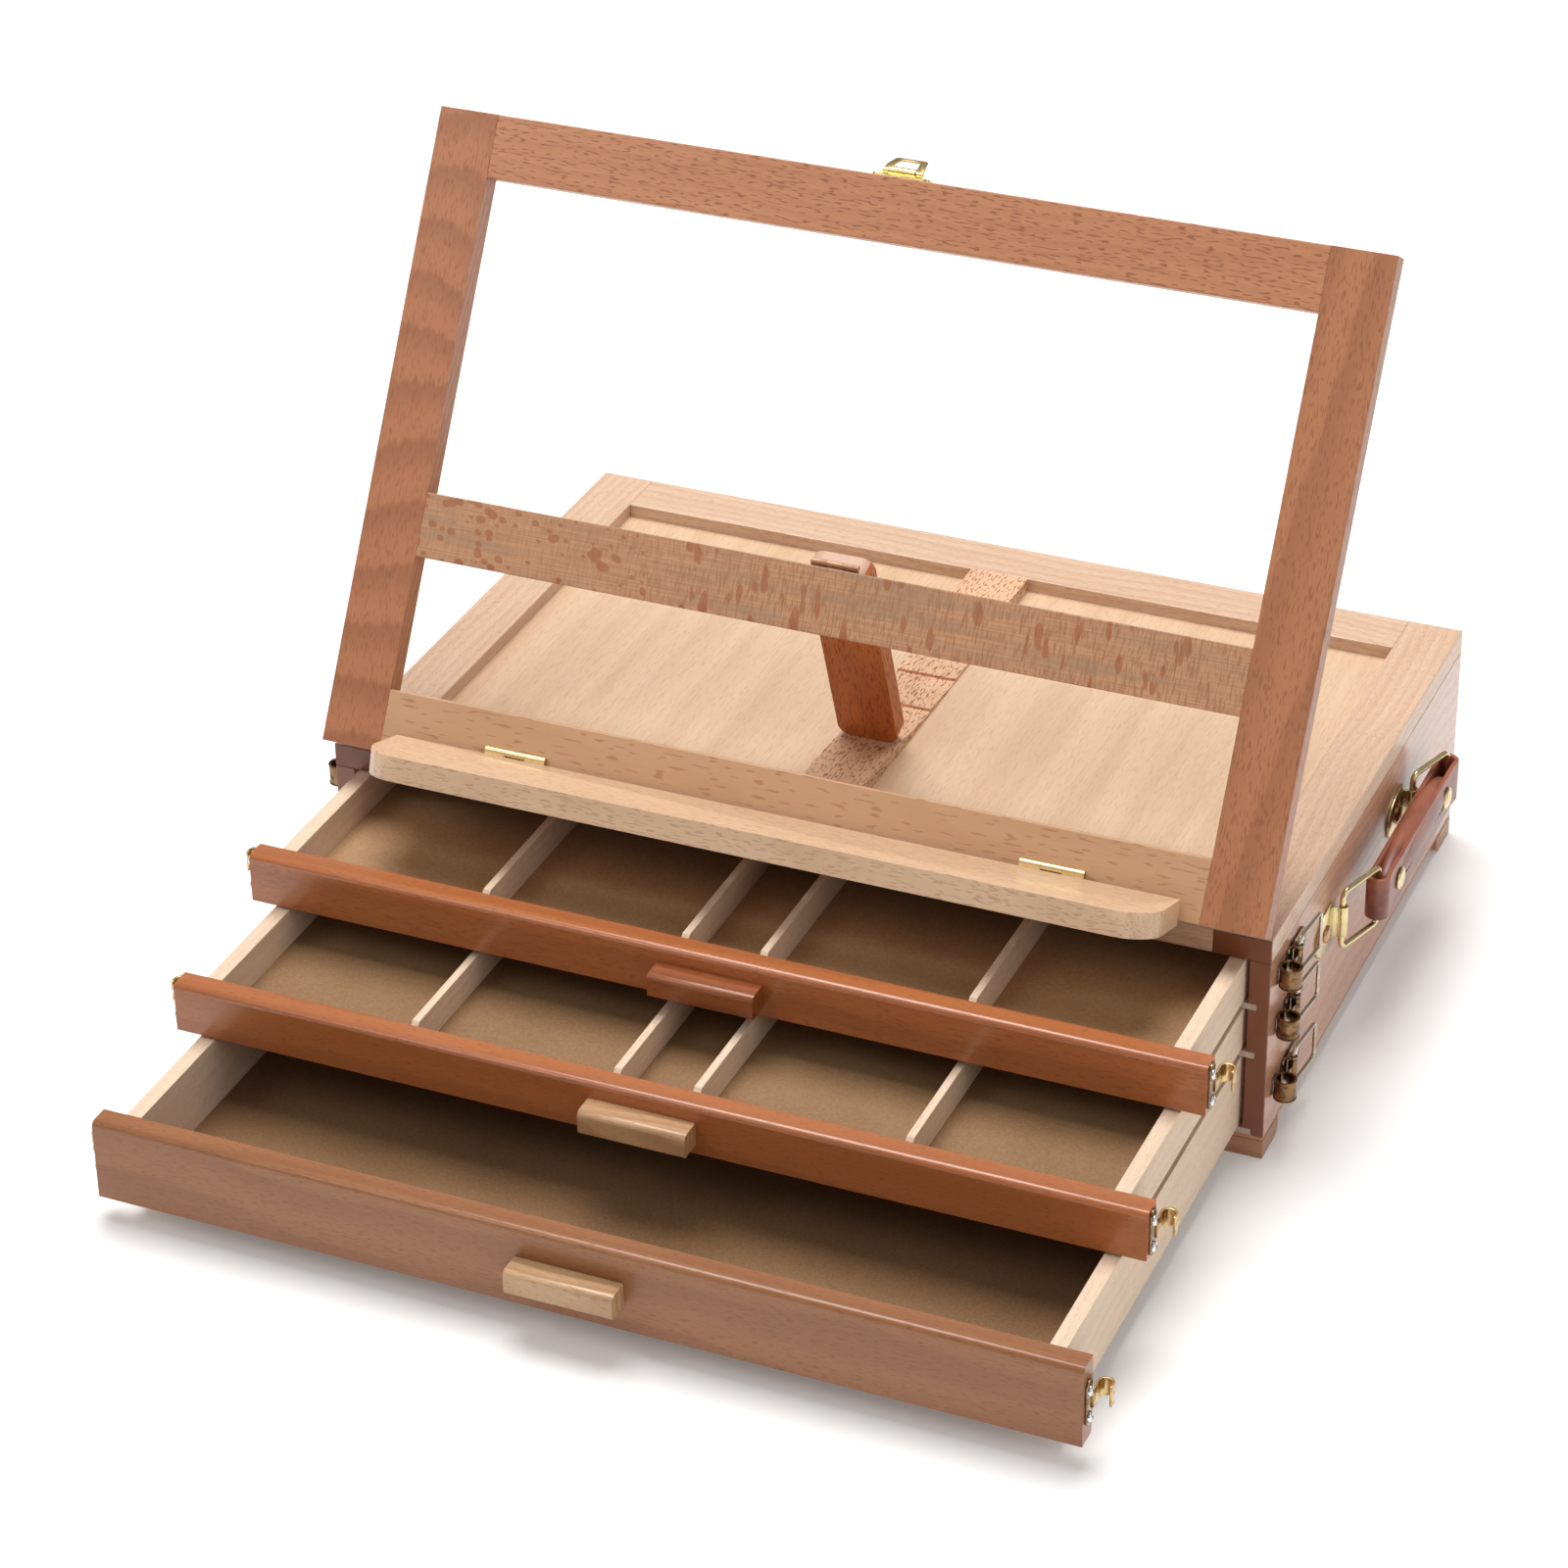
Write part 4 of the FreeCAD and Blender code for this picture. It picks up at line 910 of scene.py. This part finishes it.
class EASEL_OT_handle(bpy.types.Operator):
    """Leather strap with padded grip and stitching, brass rivets and leaf plates"""
    bl_idname = "easel.handle"
    bl_label = "Handle"

    def execute(self, context):
        scene = context.scene
        brass = brass_finish(scene)
        self.mounts(brass)
        hide = leather("brown_leather", rgb(0.34, 0.105, 0.058), rgb(0.17, 0.045, 0.026), 0.3)
        self.wrap(scene, hide)
        self.padding(hide)
        self.stitches(scene)
        self.rivets(brass)
        return {"FINISHED"}

    def mounts(self, brass):
        outline = [(-0.6, -7.0), (0.2, -6.0), (0.2, 6.0), (-0.6, 7.0), (-2.5, 7.6), (-4.0, 10.4),
                   (-8.0, 10.6), (-14.0, 9.6), (-19.0, 7.6), (-22.5, 4.6), (-24.0, 1.0),
                   (-24.0, -1.0), (-22.5, -4.6), (-19.0, -7.6), (-14.0, -9.6), (-8.0, -10.6),
                   (-4.0, -10.4), (-2.5, -7.6)]
        sheet = moved(plate("leaf", outline, PLATE_T, 0.3), shift(SIDE_X) @ OUT_RIGHT)
        line = [(SIDE_X + 0.5, -2.6), (SIDE_X + 0.9, -2.5)]
        line += arc((RING_X, 0.0), 1.95, 232.0, 490.0, 22)
        roll = ribbon("roll", line, 13.6, 0.8, 0.15)
        leaf = tidy(joined("leaf", [sheet, roll]))
        dome = cross_screw("dome", 3.7, 1.7, False)
        moved(dome, shift(SIDE_X + PLATE_T, -12.0) @ OUT_RIGHT)
        leaves, domes = [], []
        for y in RING_Y.values():
            leaves.append(copied(leaf, "leaf_at", shift(0.0, y, HANDLE_Z)))
            domes.append(copied(dome, "dome_at", shift(0.0, y, HANDLE_Z)))
        removed(leaf, dome)
        show(joined("handle_leaf_plates", leaves), "case", "brass", brass, "case_handle_mounts")
        copper = metal("domed_screws", rgb(0.50, 0.30, 0.17), rgb(0.28, 0.15, 0.08), 0.22, 0.5, 3.0)
        show(joined("handle_plate_screws", domes), "case", "brass", copper)

    def wrap(self, scene, hide):
        """The flat strap that loops round both ring bars."""
        thick = scene.easel_strap.leather
        low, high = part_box("handle_strap")
        middle, half = (low.x + high.x) / 2 / MM, (high.x - low.x) / 2 / MM - thick * 0.5
        front, rear = low.y / MM + thick * 0.5, high.y / MM - thick * 0.5
        line = arc((middle, rear - half), half, 0.0, 180.0, 14)
        inner = half - 0.5
        line += [(middle - inner, y) for y in (rear - 9.0, rear - 20.0, 24.0, front + 20.0,
                                               front + 9.0)]
        line += arc((middle, front + half), half, 180.0, 360.0, 14)
        line += [(middle + inner, y) for y in (front + 9.0, front + 20.0, 24.0, rear - 20.0,
                                               rear - 9.0)]
        line.append(line[0])
        strap = ribbon("strap_wrap", line, (high.z - low.z) / MM, thick, 0.35)
        moved(strap, shift(z=HANDLE_Z))
        show(tidy(strap), "handle", "leather", hide, "handle_strap")

    def padding(self, hide):
        """Padded grip: full and rounded above, pinched flat below its seam."""
        front, rear = GRIP_ENDS
        body = ringed("strap_padding", 28, 40)
        for vertex in body.data.vertices:
            share = vertex.co.z + 0.5
            angle = math.atan2(vertex.co.y, vertex.co.x)
            spoke = 0.0 if math.hypot(vertex.co.x, vertex.co.y) < 0.1 else 1.0
            vertex.co = self.padded_point(share, angle, spoke, front, rear)
        show(tidy(body, 60.0), "handle", "leather", hide)

    def padded_point(self, share, angle, spoke, front, rear):
        swell = max(0.0, math.sin(math.pi * min(1.0, max(0.0, share)))) ** 0.45
        seam, top, bottom = -1.5, 10.6 * swell + 1.0, -9.0
        side, lift = math.cos(angle), math.sin(angle)
        if lift >= 0.0:
            thick, height = 2.4 + 3.9 * swell, seam + lift * (top - seam)
        else:
            thick, height = 2.6 + 2.3 * (1.0 + lift) ** 2.0, seam + lift * (seam - bottom)
        groove = 1.2 * math.exp(-((height - seam + 0.4) / 0.9) ** 2) * swell
        reach = (thick - groove) * math.copysign(abs(side) ** 0.75, side)
        x = STRAP_X + reach * spoke
        y = front + (rear - front) * share
        return Vector((x, y, HANDLE_Z + (height if spoke else 0.0))) * MM

    def stitches(self, scene):
        """Short threads sunk along the seam, outside and inside."""
        pitch = scene.easel_strap.stitch
        thread = turned("thread", [(0.1, -1.3), (0.42, -1.0), (0.5, 0.0), (0.42, 1.0),
                                   (0.1, 1.3)], steps=10)
        moved(thread, Matrix.Rotation(math.pi / 2, 4, "X"))
        run = []
        count = int(60.0 / pitch)
        for i in range(count):
            y = sum(GRIP_ENDS) / 2 + (i - (count - 1) / 2) * pitch
            for side in (-1.0, 1.0):
                run.append(copied(thread, "thread_at", shift(STRAP_X + side * 4.55, y,
                                                             HANDLE_Z - 2.1)))
        removed(thread)
        dark = leather("waxed_thread", rgb(0.14, 0.05, 0.03), rgb(0.07, 0.025, 0.015), 0.5)
        show(joined("strap_stitches", run), "handle", "leather", dark)

    def rivets(self, brass):
        low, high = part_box("handle_rivets")
        profile = [(4.6, 0.0), (RIVET_R, 0.35), (4.5, 0.8), (3.5, 1.2), (2.0, 1.42), (0.05, 1.5)]
        rivet = turned("rivet", profile, steps=32)
        heads = []
        for y in (low.y / MM + RIVET_R, high.y / MM - RIVET_R):
            heads.append(copied(rivet, "rivet_at", shift(RIVET_X, y, HANDLE_Z) @ OUT_RIGHT))
        removed(rivet)
        show(joined("strap_rivets", heads), "handle", "brass", brass, "handle_rivets")


# ---------------------------------------------------------------- stage
LAMPS = (  # name, place, target, size, watts
    ("key", (-1.6, -1.9, 2.4), (0.0, -0.05, 0.12), 1.6, 15.0),
    ("fill", (2.4, -0.9, 1.3), (0.0, -0.05, 0.1), 1.8, 9.0),
    ("top", (-0.3, 0.35, 2.6), (0.0, 0.0, 0.1), 1.9, 72.0),
)
ROOM_GLOW = 0.32
FLOOR_GLOW = 0.12
FLOOR_SIZE = 30.0
CAMERA_PLACE = (0.61255, -1.54553, 1.04468)
CAMERA_TURN = (23.63, 30.27, -0.88)  # degrees: around, above, roll
LENS, SENSOR = 105.57, 36.0
CAMERA_SHIFT = (0.0093, -0.0279)


class EASEL_OT_stage(bpy.types.Operator):
    """Pale floor, soft studio lights and the camera"""
    bl_idname = "easel.stage"
    bl_label = "Stage"

    def execute(self, context):
        scene = context.scene
        self.floor()
        for lamp in LAMPS:
            self.light(*lamp)
        world = bpy.data.worlds.new("studio")
        world.use_nodes = True
        world.node_tree.nodes["Background"].inputs[0].default_value = rgb(1.0, 1.0, 1.0)
        world.node_tree.nodes["Background"].inputs[1].default_value = ROOM_GLOW
        scene.world = world
        scene.view_settings.view_transform = "Standard"
        self.camera(scene)
        return {"FINISHED"}

    def floor(self):
        pick()
        bpy.ops.mesh.primitive_plane_add(size=FLOOR_SIZE)
        floor = added("studio_floor")
        made = Finish("studio_paper", Roughness=0.9)
        made.surface(Emission_Color=rgb(1.0, 1.0, 1.0), Emission_Strength=FLOOR_GLOW)
        haze = made.noise(made.place(), 2.0)
        made.surface(Base_Color=made.mix(haze, rgb(0.93, 0.93, 0.93), rgb(0.95, 0.95, 0.95)))
        floor.data.materials.append(made.material)

    def light(self, name, place, target, size, power):
        lamp = bpy.data.lights.new(name, "AREA")
        lamp.shape, lamp.size, lamp.energy = "DISK", size, power
        holder = bpy.data.objects.new(name, lamp)
        holder.location = place
        holder.rotation_euler = (Vector(target) - Vector(place)).to_track_quat("-Z", "Y").to_euler()
        bpy.context.scene.collection.objects.link(holder)

    def camera(self, scene):
        around, above, roll = (math.radians(angle) for angle in CAMERA_TURN)
        back = Vector((math.sin(around) * math.cos(above), -math.cos(around) * math.cos(above),
                       math.sin(above)))
        right = Vector((math.cos(around), math.sin(around), 0.0))
        up = back.cross(right)
        data = bpy.data.cameras.new("camera")
        data.lens, data.sensor_width = LENS, SENSOR
        data.shift_x, data.shift_y = CAMERA_SHIFT
        data.clip_start, data.clip_end = 0.05, 60.0
        camera = bpy.data.objects.new("camera", data)
        level = right * math.cos(roll) + up * math.sin(roll)
        upright = up * math.cos(roll) - right * math.sin(roll)
        turn = Matrix((level, upright, back)).transposed()
        camera.matrix_world = Matrix.Translation(CAMERA_PLACE) @ turn.to_4x4()
        scene.collection.objects.link(camera)
        scene.camera = camera


STEPS = (EASEL_OT_case, EASEL_OT_picture_frame, EASEL_OT_drawers, EASEL_OT_hinges,
         EASEL_OT_latches, EASEL_OT_strikes, EASEL_OT_handle, EASEL_OT_stage)


class EASEL_PT_panel(bpy.types.Panel):
    """Lists the easel's settings and making steps"""
    bl_idname = "EASEL_PT_panel"
    bl_label = "Box easel"
    bl_space_type = "VIEW_3D"
    bl_region_type = "UI"
    bl_category = "Box easel"

    def draw(self, context):
        for name, group in GROUPS:
            for key in group.__annotations__:
                self.layout.prop(getattr(context.scene, name), key)
        for step in STEPS:
            self.layout.operator(step.bl_idname)


def register():
    for name, group in GROUPS:
        bpy.utils.register_class(group)
        setattr(bpy.types.Scene, name, bpy.props.PointerProperty(type=group))
    for kind in (*STEPS, EASEL_PT_panel):
        bpy.utils.register_class(kind)


def unregister():
    for kind in (EASEL_PT_panel, *reversed(STEPS)):
        bpy.utils.unregister_class(kind)
    for name, group in reversed(GROUPS):
        delattr(bpy.types.Scene, name)
        bpy.utils.unregister_class(group)


def main():
    register()
    for step in STEPS:
        group, name = step.bl_idname.split(".")
        getattr(getattr(bpy.ops, group), name)()
    pick()


if __name__ == "__main__":
    main()
